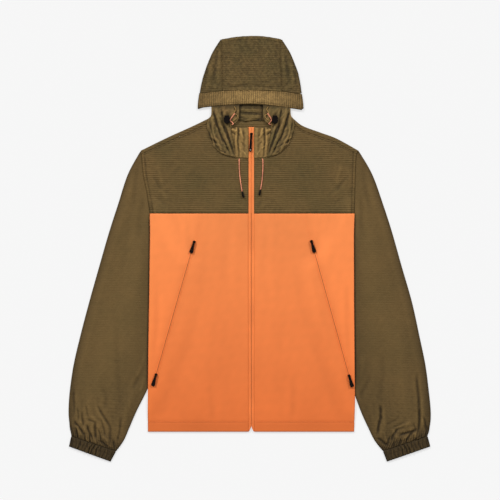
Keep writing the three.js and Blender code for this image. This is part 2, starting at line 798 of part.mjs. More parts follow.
function cuff({ name }) {
  const perGather = 3;
  const steps = cuffGathers * perGather;
  const outerCorner = sleeveOuter[sleeveOuter.length - 1];
  const innerCorner = sleeveInner[sleeveInner.length - 1];
  const radius = twoLayers / 2;
  const bottom = straight(outerCorner[name], outerCorner.y, innerCorner[name], innerCorner.y, steps);
  const top = straight(cuffEnd[0][name], cuffEnd[0].y, cuffEnd[1][name], cuffEnd[1].y, steps);
  const inward = bottom[steps].clone().sub(bottom[0]).normalize().multiplyScalar(radius);
  const narrower = (points) => straight(points[0].x + inward.x, points[0].y + inward.y,
    points[steps].x - inward.x, points[steps].y - inward.y, steps);
  const seam = narrower(bottom);
  const end = narrower(top);
  const rows = 2;
  const grid = patch({
    bottom: seam,
    top: end,
    left: straight(seam[0].x, seam[0].y, end[0].x, end[0].y, rows),
    right: straight(seam[steps].x, seam[steps].y, end[steps].x, end[steps].y, rows),
  });
  const axis = seam[steps].clone().sub(seam[0]);
  const gathered = (x, y) => {
    const across = new THREE.Vector2(x, y).sub(seam[0]).dot(axis) / axis.lengthSq();
    const full = Math.sin(Math.PI * Math.min(1, Math.max(0, across))) ** 0.5;
    const wave = Math.cos(2 * Math.PI * cuffGathers * across);
    return twoLayers + full * (cuffHeight - twoLayers - cuffGatherDepth + cuffGatherDepth * wave);
  };
  const geometry = flatTube(trimmed(grid, ['bottom', 'top']), gathered, 15);
  addMesh(`cuff_${name}`, geometry, olive);
}

// Hood

function hoodCentre() {
  const steps = 6;
  const radius = hoodAtTop / 2;
  const inside = new THREE.Vector2(4, 420);
  const fold = insetRun(run(hoodTop, steps), () => radius, inside);
  const brim = run(brimSeam.slice(1, 4), steps);
  const leftTop = run(crownSeam, 6, 'left');
  const rightTop = run(crownSeam, 6, 'right');
  leftTop[0] = fold[0].clone();
  rightTop[0] = fold[steps].clone();
  const topGrid = patch({ bottom: reversed(leftTop), top: reversed(rightTop), left: brim, right: fold });
  const leftUnder = run(crownUnderSeam, 7, 'left');
  const rightUnder = run(crownUnderSeam, 7, 'right');
  leftUnder[0] = fold[0].clone();
  rightUnder[0] = fold[steps].clone();
  const neck = straight(leftUnder[7].x, hoodBack, rightUnder[7].x, hoodBack, steps);
  const lowGrid = patch({ bottom: leftUnder, top: rightUnder, left: fold, right: neck });
  const geometry = foldedPanel(
    trimmed(topGrid, ['bottom', 'top', 'left']),
    trimmed(lowGrid, ['bottom', 'top', 'right']),
    hoodTopHeight,
    () => 0,
  );
  addMesh('hood_centre', geometry, olive);
}

function hoodSide({ name, sign }) {
  const rows = 8;
  const inside = new THREE.Vector2(4, 400);
  const radiusAt = (point) => hoodTopHeight(point.x, point.y) / 2;
  const outline = run(hoodOutline, rows, name);
  const fold = insetRun(outline, radiusAt, inside);
  const crown = run(crownSeam, rows, name);
  const start = crown[0].clone();
  fold[0].x = start.x + sign * 1.6;
  const topLine = straight(start.x, start.y, fold[0].x, fold[0].y, 3);
  const seamRow = name === 'left' ? reversed(brimSeam.slice(0, 2)) : brimSeam.slice(3);
  const brimLine = run(seamRow, 3);
  brimLine[3] = fold[rows].clone();
  const topGrid = patch({ bottom: topLine, top: brimLine, left: crown, right: fold });
  const under = run(crownUnderSeam, rows, name);
  const underTop = straight(fold[0].x, fold[0].y, under[0].x, under[0].y, 8);
  const hemLine = run(hoodUnderHem, 8, name);
  hemLine[0] = fold[rows].clone();
  const lowGrid = patch({ bottom: underTop, top: hemLine, left: fold, right: under });
  const geometry = foldedPanel(
    trimmed(topGrid, ['left', 'top', 'bottom']),
    trimmed(lowGrid, ['right', 'top', 'bottom']),
    hoodTopHeight,
    () => 0,
  );
  addMesh(`hood_side_${name}`, geometry, olive);
}

function hoodBrim() {
  const steps = 22;
  const rows = 3;
  const radius = hoodAtBrim / 2;
  const tuck = 11;
  const upperRun = run(brimSeam, steps);
  const lowerRun = run(brimLower, steps);
  const ends = {
    left: run(brimEdge, rows, 'left'),
    right: run(brimEdge, rows, 'right'),
  };
  const inset = (points, sign) => points.map((point) => new THREE.Vector2(point.x - sign * radius, point.y));
  const left = inset(ends.left, -1);
  const right = inset(ends.right, 1);
  const fit = (points, first, last) => {
    const fitted = points.map((point) => point.clone());
    fitted[0] = first.clone();
    fitted[steps] = last.clone();
    return fitted;
  };
  const topGrid = patch({
    bottom: fit(upperRun, left[0], right[0]),
    top: fit(lowerRun, left[rows], right[rows]),
    left,
    right,
  });
  const trimmedTop = trimmed(topGrid, ['bottom']);
  const top = upperSheet(trimmedTop, hoodTopHeight);
  const slope = 7;
  const tucked = (column, sign) => [0, 0.5, 1].map((t) => column.map((point, j) => (
    new THREE.Vector2(point.x - sign * t * tuck, point.y - (t > 0 && j === 0 ? slope : 0))
  )));
  const leftLow = lowerSheet(tucked(trimmedTop[0], -1), () => 0);
  const rightLow = lowerSheet(tucked(trimmedTop[steps], 1), () => 0);
  const leftFold = turn(top[0], leftLow[0], foldLine(trimmedTop[0], trimmedTop[1]));
  const rightFold = turn(top[steps], rightLow[0], foldLine(trimmedTop[steps], trimmedTop[steps - 1]));
  const columns = [...reversed(leftLow), ...reversed(leftFold), ...top, ...rightFold, ...rightLow];
  addMesh('hood_brim', wallGeometry(columns), olive);
}

function hoodFlap({ name }) {
  const bottom = run(neckFront, 8, name);
  const left = joined(
    reversed(run(neckSide, 4, name)),
    run(flapSide.slice(3), 6, name),
  );
  const right = joined(run(chinSeam, 4, name), run(flapOpening, left.length - 5, name));
  const last = left.length - 1;
  const grid = patch({
    bottom,
    top: straight(left[last].x, left[last].y, right[last].x, right[last].y, 8),
    left,
    right,
  });
  const columns = upperSheet(trimmed(grid), collarTop);
  surfaces[`flap_${name}`] = columns;
  addMesh(`hood_flap_${name}`, wallGeometry(columns), olive);
}

function chinPanel({ name, sign }) {
  const zipSide = zipCentre + (sign * zipWidth) / 2;
  const seam = run(chinSeam, 4, name);
  const grid = patch({
    bottom: run(neckToZip, 3, name),
    top: run(chinTop, 3, name),
    left: seam,
    right: straight(zipSide, 212.5, zipSide, zipTop, 4),
  });
  addMesh(`chin_${name}`, wallGeometry(upperSheet(trimmed(grid), collarTop)), sand);
}

// Main zip: two tapes with the closed coil between them

function zipTape({ name, sign }) {
  const steps = 12;
  const half = zipWidth / 2;
  const coil = 2.2;
  const places = [half, coil + 0.8, coil, 0];
  const rise = [0, 0, 0.6, 0.6];
  const columns = places.map((place, i) => straight(0, hem + 3, 0, zipTop, steps).map(({ y }) => {
    const trim = i === 0 ? -seamGap / 2 : 0;
    const middle = i === places.length - 1 ? seamGap / 2 : 0;
    const x = zipCentre + sign * (place + trim + middle);
    const base = y > yokeSeam ? yokeTop(name, x, y) : frontTop(name, x, y);
    return upper(new THREE.Vector2(x, y), base + rise[i]);
  }));
  addMesh(`zip_tape_${name}`, wallGeometry(columns), tapeOrange);
}

// Sliders and pull tabs, drawn with the closed end of the zip towards +Y

const bridge = { width: 1.8, reach: 3.4, post: 1, bar: 1, opening: 2.2 };
const sliderPlate = { length: 9.5, width: 7, thick: 1.3 };
const axisHeight = sliderPlate.thick + bridge.opening / 2;

function extruded(shape, depth, curveSegments = 4) {
  return new THREE.ExtrudeGeometry(shape, { depth, bevelEnabled: false, curveSegments });
}

function sliderGeometry() {
  const plate = new THREE.Shape();
  const halfWidth = sliderPlate.width / 2;
  const halfLength = sliderPlate.length / 2;
  plate.moveTo(-halfWidth * 0.6, -halfLength);
  plate.lineTo(halfWidth * 0.6, -halfLength);
  plate.lineTo(halfWidth, halfLength * 0.5);
  plate.quadraticCurveTo(halfWidth, halfLength, 0, halfLength);
  plate.quadraticCurveTo(-halfWidth, halfLength, -halfWidth, halfLength * 0.5);
  plate.closePath();
  const arch = new THREE.Shape();
  const top = sliderPlate.thick + bridge.opening + bridge.bar;
  const underBar = sliderPlate.thick + bridge.opening;
  const inner = bridge.reach - bridge.post;
  arch.moveTo(-bridge.reach, sliderPlate.thick / 2);
  arch.lineTo(-inner, sliderPlate.thick / 2);
  arch.lineTo(-inner, underBar);
  arch.lineTo(inner, underBar);
  arch.lineTo(inner, sliderPlate.thick / 2);
  arch.lineTo(bridge.reach, sliderPlate.thick / 2);
  arch.lineTo(bridge.reach, top - 0.6);
  arch.lineTo(bridge.reach - 0.6, top);
  arch.lineTo(-bridge.reach + 0.6, top);
  arch.lineTo(-bridge.reach, top - 0.6);
  arch.closePath();
  const archSolid = extruded(arch, bridge.width);
  archSolid.translate(0, 0, -bridge.width / 2);
  archSolid.rotateX(Math.PI / 2);
  archSolid.rotateZ(Math.PI / 2);
  return union([extruded(plate, sliderPlate.thick), archSolid]);
}

// A tab with an eye round the bridge; its hinge line is the origin and it lies towards -Y
function pullGeometry({ length, headWidth, tailWidth, thick }) {
  const barHalf = 0.6;
  const eyeEnd = 4.6;
  const eyeHalf = bridge.width / 2 + 0.4;
  const tab = new THREE.Shape();
  tab.moveTo(-headWidth / 2, barHalf);
  tab.lineTo(-headWidth / 2, -eyeEnd - 1);
  tab.lineTo(-tailWidth / 2, -length + 3.5);
  tab.quadraticCurveTo(-tailWidth / 2, -length, 0, -length);
  tab.quadraticCurveTo(tailWidth / 2, -length, tailWidth / 2, -length + 3.5);
  tab.lineTo(headWidth / 2, -eyeEnd - 1);
  tab.lineTo(headWidth / 2, barHalf);
  tab.closePath();
  const eye = new THREE.Path();
  eye.moveTo(-eyeHalf, -barHalf);
  eye.lineTo(eyeHalf, -barHalf);
  eye.lineTo(eyeHalf, -eyeEnd);
  eye.lineTo(-eyeHalf, -eyeEnd);
  eye.closePath();
  tab.holes.push(eye);
  const geometry = extruded(tab, 2 * barHalf);
  geometry.translate(0, 0, -barHalf);
  const grip = new THREE.Shape();
  const gripStart = -eyeEnd - 1.4;
  const startHalf = headWidth / 2 - 0.1;
  const endHalf = tailWidth / 2 - 0.1;
  grip.moveTo(-startHalf, gripStart);
  grip.lineTo(-endHalf, -length + 4);
  grip.quadraticCurveTo(-endHalf, -length + 0.4, 0, -length + 0.4);
  grip.quadraticCurveTo(endHalf, -length + 0.4, endHalf, -length + 4);
  grip.lineTo(startHalf, gripStart);
  grip.closePath();
  const gripSolid = extruded(grip, thick);
  gripSolid.translate(0, 0, -thick / 2);
  return union([geometry, gripSolid]);
}

function addSlider(name, x, y, height, turnAngle, pull, restSlope) {
  const slider = new THREE.Group();
  slider.position.set(x, y, height);
  slider.rotation.z = turnAngle;
  jacket.add(slider);
  addMesh(`${name}_slider`, sliderGeometry(), blackPlastic, slider);
  const hinge = new THREE.Group();
  hinge.position.z = axisHeight;
  hinge.rotation.x = restSlope;
  slider.add(hinge);
  addMesh(`${name}_pull`, pullGeometry(pull), blackPlastic, hinge);
}

function mainZip() {
  sides.forEach(zipTape);
  const tapeTop = twoLayers + 0.6;
  addSlider('zip_main', zipCentre, mainSliderY, tapeTop + seamGap,
    THREE.MathUtils.degToRad(-mainPullLean), mainPull, THREE.MathUtils.degToRad(0.8));
}

function pocketZip(row) {
  const { name, headX, headY, footX, footY } = row;
  const steps = 24;
  const panel = surfaces[`front_${name}`];
  const direction = new THREE.Vector2(footX - headX, footY - headY).normalize();
  const acrossX = -direction.y;
  const acrossY = direction.x;
  const half = pocketZipWidth / 2;
  const columns = [-half, 0, half].map((place, i) => (
    straight(headX, headY, footX, footY, steps).map((point) => {
      const x = point.x + acrossX * place;
      const y = point.y + acrossY * place;
      const bottom = heightOn(panel, x, y) + seamGap + (i === 1 ? 0.2 : 0);
      return { outer: [x, y, bottom + pocketZipThick], inner: [x, y, bottom] };
    })
  ));
  addMesh(`pocket_zip_${name}`, wallGeometry(columns), tapeOrange);
  const turnAngle = Math.atan2(direction.x, -direction.y);
  const places = [
    { end: 'upper', x: headX, y: headY, inset: 5 },
    { end: 'lower', x: footX, y: footY, inset: 26 },
  ];
  for (const { end, x, y, inset } of places) {
    const sign = end === 'upper' ? 1 : -1;
    const px = x + sign * direction.x * inset;
    const py = y + sign * direction.y * inset;
    const height = highestUnder(panel, px, py, 4) + 0.2 + 2 * seamGap + pocketZipThick;
    addSlider(`pocket_${name}_${end}`, px, py, height, turnAngle, pocketPull, THREE.MathUtils.degToRad(1.5));
  }
}

// Cords

function tubeAlong(points, diameter, steps, facets) {
  const section = new THREE.Shape();
  section.absarc(0, 0, diameter / 2, 0, 2 * Math.PI);
  const path = new THREE.CatmullRomCurve3(points.map(([x, y, z]) => new THREE.Vector3(x, y, z)));
  return new THREE.ExtrudeGeometry(section, { steps, extrudePath: path, curveSegments: facets });
}

function drawcord({ name }) {
  const restsAt = cordDiameter / 2 + seamGap;
  const panel = surfaces[`yoke_${name}`];
  const points = drawcords[name].map(({ x, y }) => [x, y, highestUnder(panel, x, y, 2) + restsAt]);
  addMesh(`drawcord_${name}`, tubeAlong(points, cordDiameter, 12, 4), coral);
  const { fromX, fromY, toX, toY } = cordTips[name];
  const length = Math.hypot(toX - fromX, toY - fromY);
  const profile = [[0, 0], [1.6, 0], [2, 1], [tipDiameter / 2, length - 3], [2, length], [0, length]];
  const tip = new THREE.LatheGeometry(profile.map(([r, h]) => new THREE.Vector2(r, h)), 8);
  const holder = new THREE.Group();
  holder.position.set(fromX, fromY, highestUnder(panel, toX, toY, 3) + seamGap + tipDiameter / 2);
  holder.rotation.z = Math.atan2(toY - fromY, toX - fromX) - Math.PI / 2;
  jacket.add(holder);
  addMesh(`drawcord_tip_${name}`, tip, blackPlastic, holder);
}

function cordLockSet({ name, sign }) {
  const x = cordLock.x[name];
  const outline = new THREE.Shape();
  const halfWidth = cordLock.width / 2;
  const halfLength = cordLock.length / 2;
  const bodyEnd = halfLength - 5;
  outline.absarc(0, -halfLength + halfWidth, halfWidth, Math.PI, 2 * Math.PI);
  outline.lineTo(halfWidth, bodyEnd);
  outline.lineTo(-halfWidth, bodyEnd);
  outline.closePath();
  const holder = new THREE.Group();
  const flapTop = highestUnder(surfaces[`flap_${name}`], x, cordLock.y, cordLock.width / 2);
  holder.position.set(x, cordLock.y, flapTop + seamGap);
  jacket.add(holder);
  const body = extruded(outline, cordLock.height, 6);
  addMesh(`cord_lock_${name}`, body, blackPlastic, holder);
  const button = new THREE.Shape();
  const buttonHalf = halfWidth - 1.6;
  button.moveTo(-buttonHalf, bodyEnd + seamGap);
  button.lineTo(buttonHalf, bodyEnd + seamGap);
  button.lineTo(buttonHalf, halfLength - 1);
  button.lineTo(buttonHalf - 1.2, halfLength);
  button.lineTo(-buttonHalf + 1.2, halfLength);
  button.lineTo(-buttonHalf, halfLength - 1);
  button.closePath();
  const buttonSolid = extruded(button, cordLock.height - 2);
  buttonSolid.translate(0, 0, 1);
  addMesh(`cord_lock_button_${name}`, buttonSolid, blackPlastic, holder);
  const near = x - sign * (halfWidth + 2 * seamGap + cordDiameter / 2);
  const eyeX = { left: -34, right: 42.5 }[name];
  const height = flapTop + seamGap + cordDiameter / 2 + 0.4;
  const points = [
    [eyeX, 318, height], [(eyeX + near) / 2 - sign, 313, height], [near, 305, height],
    [near, 300, height], [(eyeX + near) / 2 - sign, 294, height], [eyeX - sign * 2, 289.5, height],
  ];
  addMesh(`lock_cord_${name}`, tubeAlong(points, cordDiameter, 12, 4), coral);
}

backLower();
backYoke();
sides.forEach(frontPanel);
sides.forEach(frontYoke);
sides.forEach(sleeve);
sides.forEach(cuff);
hoodCentre();
sides.forEach(hoodSide);
hoodBrim();
sides.forEach(hoodFlap);
sides.forEach(chinPanel);
mainZip();
pocketZips.forEach(pocketZip);
sides.forEach(drawcord);
sides.forEach(cordLockSet);

export default jacket;
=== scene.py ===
import math
from functools import partial

import bmesh
import bpy
import numpy as np
from bpy.props import FloatProperty, FloatVectorProperty, PointerProperty
from mathutils import Matrix, Vector


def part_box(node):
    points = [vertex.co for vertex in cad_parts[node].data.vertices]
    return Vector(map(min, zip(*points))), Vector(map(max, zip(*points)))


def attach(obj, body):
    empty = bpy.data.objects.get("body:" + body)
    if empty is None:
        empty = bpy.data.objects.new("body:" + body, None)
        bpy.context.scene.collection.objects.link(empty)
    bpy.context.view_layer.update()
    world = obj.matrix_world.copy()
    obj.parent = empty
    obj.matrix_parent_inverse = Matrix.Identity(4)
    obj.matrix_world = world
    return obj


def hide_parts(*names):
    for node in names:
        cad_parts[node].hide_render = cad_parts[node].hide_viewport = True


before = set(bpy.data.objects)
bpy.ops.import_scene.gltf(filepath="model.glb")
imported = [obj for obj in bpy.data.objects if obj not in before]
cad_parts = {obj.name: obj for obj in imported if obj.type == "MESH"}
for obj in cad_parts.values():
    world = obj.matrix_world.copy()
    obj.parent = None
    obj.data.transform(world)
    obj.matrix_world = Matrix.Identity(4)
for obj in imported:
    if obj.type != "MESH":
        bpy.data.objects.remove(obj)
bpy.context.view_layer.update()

# Hooded windbreaker laid flat, front up. Left and right are the viewer's.
# Tables are in millimetres, like the garment's patterns; meshes are made in metres.

bl_info = {
    "name": "Hooded Windbreaker",
    "version": (1, 0, 0),
    "blender": (4, 5, 0),
    "location": "View3D > Sidebar > Windbreaker",
    "description": "Builds a hooded windbreaker jacket laid flat on a pale floor",
    "category": "Object",
}

MM = 0.001
SIDES = {"left": -1, "right": 1}

# Cloth and layers. The body is lifted by the sleeve under it, and settles within a reach of
# the sleeve's edge
SHELL = 0.7
TWO_LAYERS = 3.4
LEAST_HEIGHT = 1.9
TUCKED_SLEEVE = 3.0
LIFT = 3.6
UPPER_REACH = 60
LOWER_REACH = 40
SLEEVE_PUFF = 2.2
FRONT_PUFF = 1.2
HOOD_TOP = 3.4
HOOD_BRIM = 5.8
CUFF_HEIGHT = 4.6
CUFF_GATHERS = 12
FINE_GATHERS = 19
CUFF_TUCK = 2.2

# Levels across the body
ZIP_CENTRE = 4.5
ZIP_WIDTH = 16
ZIP_TOP = 286
YOKE_SEAM = 83
HEM = -429.4
ZIP_SHOWS = 12.8
HEM_NOTCH = 12
HEM_TURN = 24
NECK_BOTTOM = 212.5
UNDERARM = -40
HOOD_BACK = 300
SHOULDER_WRAP = 11


def rows(*values):
    """A table of seam points: y, x at the left, x at the right."""
    return [dict(zip(("y", "left", "right"), row)) for row in values]


BODY_EDGE = rows((83, -234, 247), (33, -233.5, 245.5), (-125, -235.5, 246), (-237, -237.6, 247),
                 (-355, -238.6, 248), (-430, -238.4, 246))
ARMHOLE = rows((222, -254.3, 252.5), (209, -253, 250.5), (171, -249, 249), (131, -241, 248),
               (83, -234, 247), (33, -219, 231), (-12, -191, 199), (-40, -158, 161))
SIDE_SEAM = rows((-40, -158, 161), (-427, -170, 172))
SLEEVE_OUTER = rows((231, -255, 256), (176, -285, 288), (105, -308.5, 314), (40, -329.5, 335),
                    (-38, -352, 357), (-125, -376.5, 382), (-207, -398, 400), (-272, -413, 413.5),
                    (-333, -422, 421.5), (-380, -425, 426), (-411, -423, 425), (-440, -419, 419))
SLEEVE_INNER = rows((-40, -158, 161), (-82, -162, 165), (-125, -170, 173), (-172, -183, 186),
                    (-223, -198, 201), (-275, -217, 221), (-331, -240, 243), (-380, -264.5, 261),
                    (-418, -281, 278), (-450, -295, 294), (-475, -312.5, 313.5))
CUFF_END = rows((-464, -424, 425), (-499.5, -326, 323))
SHOULDER = rows((306, -97, 103.5), (289, -132, 125.5), (273, -167.5, 168), (259, -198, 205.5),
                (231, -255, 256))
NECK_SIDE = rows((294, -99.5, 105.5), (283, -99, 105), (266, -95.5, 103), (242, -84.5, 89.5))
NECK_FRONT = rows((242, -84.5, 89.5), (223.5, -64, 67.5), (215, -33, 41.5))
NECK_TO_ZIP = rows((215, -33, 41.5), (212.5, -3.5, 12.5))
HOOD_OUTLINE = rows((492, -67.4, 75.8), (482, -74.5, 83), (462, -86.5, 95), (443, -95, 103.5),
                    (415, -105.5, 114), (387, -113, 119.8), (366, -116.8, 122.8))
BRIM_EDGE = rows((365.3, -118, 123.4), (345, -120.8, 126.2), (329, -122, 127.6))
CROWN_SEAM = rows((491.6, -66, 74.5), (443, -64.3, 72.5), (408, -63.6, 75), (370, -63, 76.3))
CROWN_UNDER = rows((491.6, -66, 74.5), (300, -50, 58))
HOOD_TOP_LINE = [(-66, 492.6), (-42, 497), (-20, 499.7), (4, 500.8), (28, 500.2), (48, 498), (74.5, 493)]
BRIM_SEAM = [(-116.6, 364.5), (-63, 369.8), (4, 371.5), (76.3, 368.3), (122.6, 362)]
BRIM_LOWER = [(-121.5, 330.5), (-89, 334), (-45, 338), (4.5, 339.8), (47, 336.8), (95, 330.4),
              (126.5, 325.8)]
FLAP_SIDE = rows((242, -84.5, 89.5), (266, -95.5, 103), (283, -99, 105), (294, -99.5, 105.5),
                 (305, -97, 103.5), (314, -90, 97.5), (340, -89.4, 96.5), (362, -89.4, 96.5))
FLAP_OPENING = rows((282, -43, 51.5), (291, -38.5, 48), (300, -28.5, 36.5), (314, -24, 32.4),
                    (362, -24.4, 32.4))
CHIN_SEAM = rows((215, -33, 41.5), (244, -37.5, 46), (282, -43, 51.5))
CHIN_TOP = rows((282, -43, 51.5), (284.8, -31, 40), (283.5, -17, 26), (286, -3.5, 12.5))
HOOD_UNDER_HEM = rows((366, -116.8, 122.8), (364, -109, 116), (357, -101, 108), (342, -92, 99),
                      (318, -86, 93), (303, -82, 90), (300, -66, 74), (300, -50, 58))

# Folds: from x, y to x, y, width, height; a trough has a negative height
SLEEVE_FOLDS = {
    "left": [
        (-268, 170, -318, 20, 16, 0.9), (-300, -60, -330, -200, 16, -0.8),
        (-312, -170, -306, -385, 10, -1.3), (-345, -250, -385, -420, 13, 1.0),
        (-356, -370, -328, -418, 3.0, -2.4), (-362, -362, -340, -416, 6, 1.0),
        (-327, -414, -326, -452, 3.4, -1.8), (-380, -399, -362, -408, 3.0, -2.2),
        (-362, -406, -362, -446, 3.2, -3.2), (-393, -384, -390, -420, 3.0, -2.0),
        (-382, -414, -369, -446, 3.0, -3.0), (-370, -392, -352, -420, 6, 1.2),
        (-411, -404, -391, -432, 2.8, -3.0), (-404, -414, -396, -446, 4.0, 1.3),
        (-408, -420, -401, -446, 2.6, -2.4), (-303, -412, -309, -452, 2.6, -1.8),
        (-300, -396, -304, -420, 4.0, -1.4), (-352, -450, -332, -464, 2.8, -2.4),
        (-346, -440, -330, -452, 4.0, 1.6), (-390, -430, -384, -452, 2.2, -2.2),
        (-376, -436, -374, -456, 2.2, -2.0), (-396, -436, -394, -452, 2.0, -1.8),
        (-320, -448, -316, -468, 2.6, -1.8), (-412, -330, -412, -392, 3.0, -1.8),
        (-240, -246, -262, -304, 6, 1.5), (-246, -266, -272, -330, 5, -1.4),
        (-242, -300, -258, -336, 5, 1.2), (-262, 196, -275, 90, 7, -1.0),
        (-250, 120, -262, 20, 9, -1.2), (-378, -60, -398, -210, 10, 0.8),
        (-258, -10, -270, -140, 14, 0.8), (-284, 60, -300, -60, 9, -0.6),
        (-418, -300, -420, -400, 4, -1.0), (-276, -330, -300, -420, 9, 0.9),
        (-348, -398, -338, -440, 2.2, -1.6), (-341, -325, -336, -375, 6, -1.1),
        (-380, -290, -386, -395, 13, 0.9), (-384, -366, -378, -396, 2.4, -1.4),
        (-354, -424, -348, -450, 2.0, -1.8), (-404, -372, -400, -404, 2.2, -1.4),
        (-398, -402, -384, -428, 2.4, 1.2), (-386, -440, -378, -458, 1.8, 1.2),
        (-366, -440, -360, -458, 1.8, 1.2), (-338, -456, -322, -466, 2.0, 1.2),
    ],
    "right": [
        (272, 170, 322, 20, 16, 0.9), (305, -60, 335, -200, 16, -0.8),
        (393, -296, 399, -384, 3.6, -2.4), (400, -376, 397, -432, 3.4, -3.2),
        (405, -350, 408, -420, 6, 1.2), (345, -200, 368, -390, 14, 1.1),
        (307, -368, 309, -398, 3.4, -2.8), (309, -392, 300, -434, 3.4, -3.2),
        (318, -380, 312, -440, 7, 1.0), (391, -424, 370, -444, 2.6, -3.2),
        (388, -426, 354, -437, 2.8, -3.0), (382, -404, 348, -424, 5, 1.4),
        (365, -417, 344, -426, 2.8, -2.2), (346, -424, 333, -448, 2.8, -2.4),
        (335, -425, 352, -450, 4.5, 1.2), (408, -392, 418, -430, 2.8, -2.4),
        (301, -444, 325, -462, 2.8, -2.4), (386, -410, 391, -426, 2.4, -1.6),
        (372, -444, 366, -458, 2.2, -2.0), (356, -446, 352, -462, 2.2, -2.0),
        (340, -452, 338, -466, 2.2, -1.8), (268, -250, 252, -310, 8, 1.2),
        (282, -300, 260, -350, 6, -1.0), (262, -270, 248, -330, 4, -0.9),
        (265, 196, 280, 90, 7, -1.0), (258, 120, 268, 20, 9, -1.2),
        (380, -60, 402, -210, 10, 0.8), (262, -10, 276, -140, 14, 0.8),
        (313, -250, 309, -360, 8, -0.9), (376, -420, 398, -448, 4, 1.3),
        (398, -440, 384, -452, 2.0, -1.8), (380, -436, 356, -448, 2.2, 1.2),
        (362, -408, 336, -420, 2.4, -1.3), (330, -440, 322, -462, 2.0, -1.6),
        (316, -430, 322, -456, 2.4, 1.2), (412, -420, 408, -444, 2.0, 1.2),
        (350, -398, 322, -412, 3.0, -0.9), (346, -438, 341, -458, 1.9, 1.1),
    ],
}
FRONT_FOLDS = [
    (-120, -60, -130, -400, 26, 1.2), (-60, 60, -56, -380, 22, -0.8), (70, 60, 66, -380, 22, -0.8),
    (132, -60, 142, -400, 26, 1.2), (-150, 70, -135, -20, 9, -0.5), (-36, 78, -44, -120, 12, 0.5),
    (168, 72, 150, -30, 9, -0.5), (44, 78, 52, -120, 12, 0.5), (-216, -90, -224, -250, 8, -0.7),
    (226, -90, 233, -250, 8, -0.7), (-92, -300, -88, -418, 10, -0.6), (104, -290, 98, -418, 10, -0.6),
    (24, 96, 48, 110, 3, 0.6), (18, 92, 30, 118, 3, -0.5), (-14, 94, -34, 108, 3, 0.5),
    (-216, 196, -204, 150, 4, 1.0), (-226, 170, -206, 138, 3.5, -1.1), (-214, 140, -190, 118, 4, 1.0),
    (214, 196, 204, 150, 4, 1.0), (226, 170, 206, 138, 3.5, -1.1), (214, 140, 190, 118, 4, 1.0),
    (-222, 124, -196, 104, 3, -0.9), (222, 124, 196, 104, 3, -0.9), (-196, 214, -150, 196, 5, 0.6),
    (200, 214, 156, 196, 5, 0.6),
]
COLLAR_FOLDS = [
    (-66, 330, -59, 288, 2.4, -2.0), (-59, 292, -36, 222, 2.8, -3.0), (-79, 331, -70, 292, 3.6, 1.6),
    (-71, 298, -45, 234, 3.4, 2.4), (-84, 322, -76, 288, 2.4, -1.8), (-79, 302, -62, 250, 2.2, -2.1),
    (-88, 308, -84, 262, 3.4, 2.2), (-84, 268, -64, 228, 3.0, 2.0), (-97, 280, -86, 240, 2.6, -1.8),
    (-52, 320, -46, 286, 3.2, -1.6), (-50, 282, -39, 228, 2.2, 1.6), (-44, 300, -36, 292, 2.4, -1.2),
    (-92, 292, -78, 238, 1.8, -1.2), (-34, 336, -30, 306, 3.4, -1.2),
    (-62, 288, -51, 256, 4.6, -1.4), (-64, 262, -46, 226, 2.0, -1.5), (-91, 264, -70, 251, 1.8, 1.3),
    (-82, 247, -61, 238, 1.7, 1.3), (-86, 256, -68, 243, 1.5, -1.1), (-72, 233, -54, 226, 1.6, -1.3),
    (-60, 246, -44, 236, 1.7, 1.2), (-56, 270, -47, 262, 1.7, 1.2), (-74, 318, -64, 306, 1.8, 1.2),
    (-50, 312, -42, 302, 1.6, -1.2), (-78, 284, -66, 272, 1.6, 1.0),
]
CHIN_FOLDS = [
    (-26, 288, -27, 246, 2.0, -2.0), (-27, 252, -24, 216, 1.8, -1.8), (-31, 288, -31, 232, 2.2, 1.4),
    (-42, 281, -28, 274, 2.0, 1.3), (-41, 275, -29, 265, 1.8, -1.2), (-22, 286, -17, 262, 2.2, 1.2),
    (-36, 262, -32, 220, 2.4, -0.8), (-14, 284, -12, 222, 2.6, -0.8), (-40, 286, -30, 282, 1.6, -1.0),
    (-26, 276, -12, 258, 2.0, 1.3), (-20, 252, -10, 240, 1.8, -1.1), (-34, 246, -20, 236, 1.6, 1.0),
    (-16, 232, -8, 220, 1.6, 1.0),
]
HOOD_FOLDS = [
    (-90, 440, -98, 380, 5, 1.2), (96, 440, 104, 380, 5, 1.2), (-30, 480, -34, 392, 14, 0.7),
    (38, 480, 42, 392, 14, 0.7), (-76, 470, -84, 392, 4, -1.1), (84, 470, 92, 392, 4, -1.1),
    (-54, 478, -57, 384, 5, -0.6), (62, 478, 66, 384, 5, -0.6), (-100, 420, -105, 372, 3, -0.9),
    (106, 420, 111, 372, 3, -0.9), (-70, 470, -74, 380, 3, 0.7), (79, 470, 82, 380, 3, 0.7),
    (-44, 384, -14, 396, 4, 0.7), (-10, 394, 28, 384, 4, 0.7), (20, 388, 52, 396, 4, -0.6),
    (-40, 380, 0, 386, 2.2, -0.8), (10, 384, 50, 378, 2.2, -0.8), (-56, 396, -30, 380, 2.2, 0.8),
    (62, 394, 40, 380, 2.2, 0.8), (-98, 386, -76, 376, 2.0, 0.9), (-84, 392, -66, 380, 2.0, -0.9),
    (104, 384, 84, 374, 2.0, 0.9), (92, 390, 78, 378, 2.0, -0.9), (-104, 396, -92, 374, 2.0, -0.8),
    (110, 394, 100, 372, 2.0, -0.8),
]
INNER_HOOD_FOLDS = [
    (-24, 327, 30, 325, 3.0, 1.6), (-22, 314, 20, 309, 2.6, 1.6), (-20, 294, 21, 313, 2.2, 2.2),
    (-12, 290, 27, 305, 2.4, -2.0), (-22, 292, 30, 297, 3.0, 1.4), (-20, 320, 28, 318, 2.2, -1.2),
]

# How much darker a sleeve gets towards its cuff, and from the yoke's seam down
SLEEVE_SHADE = {"left": (0.35, 0.0), "right": (0.45, 0.22)}

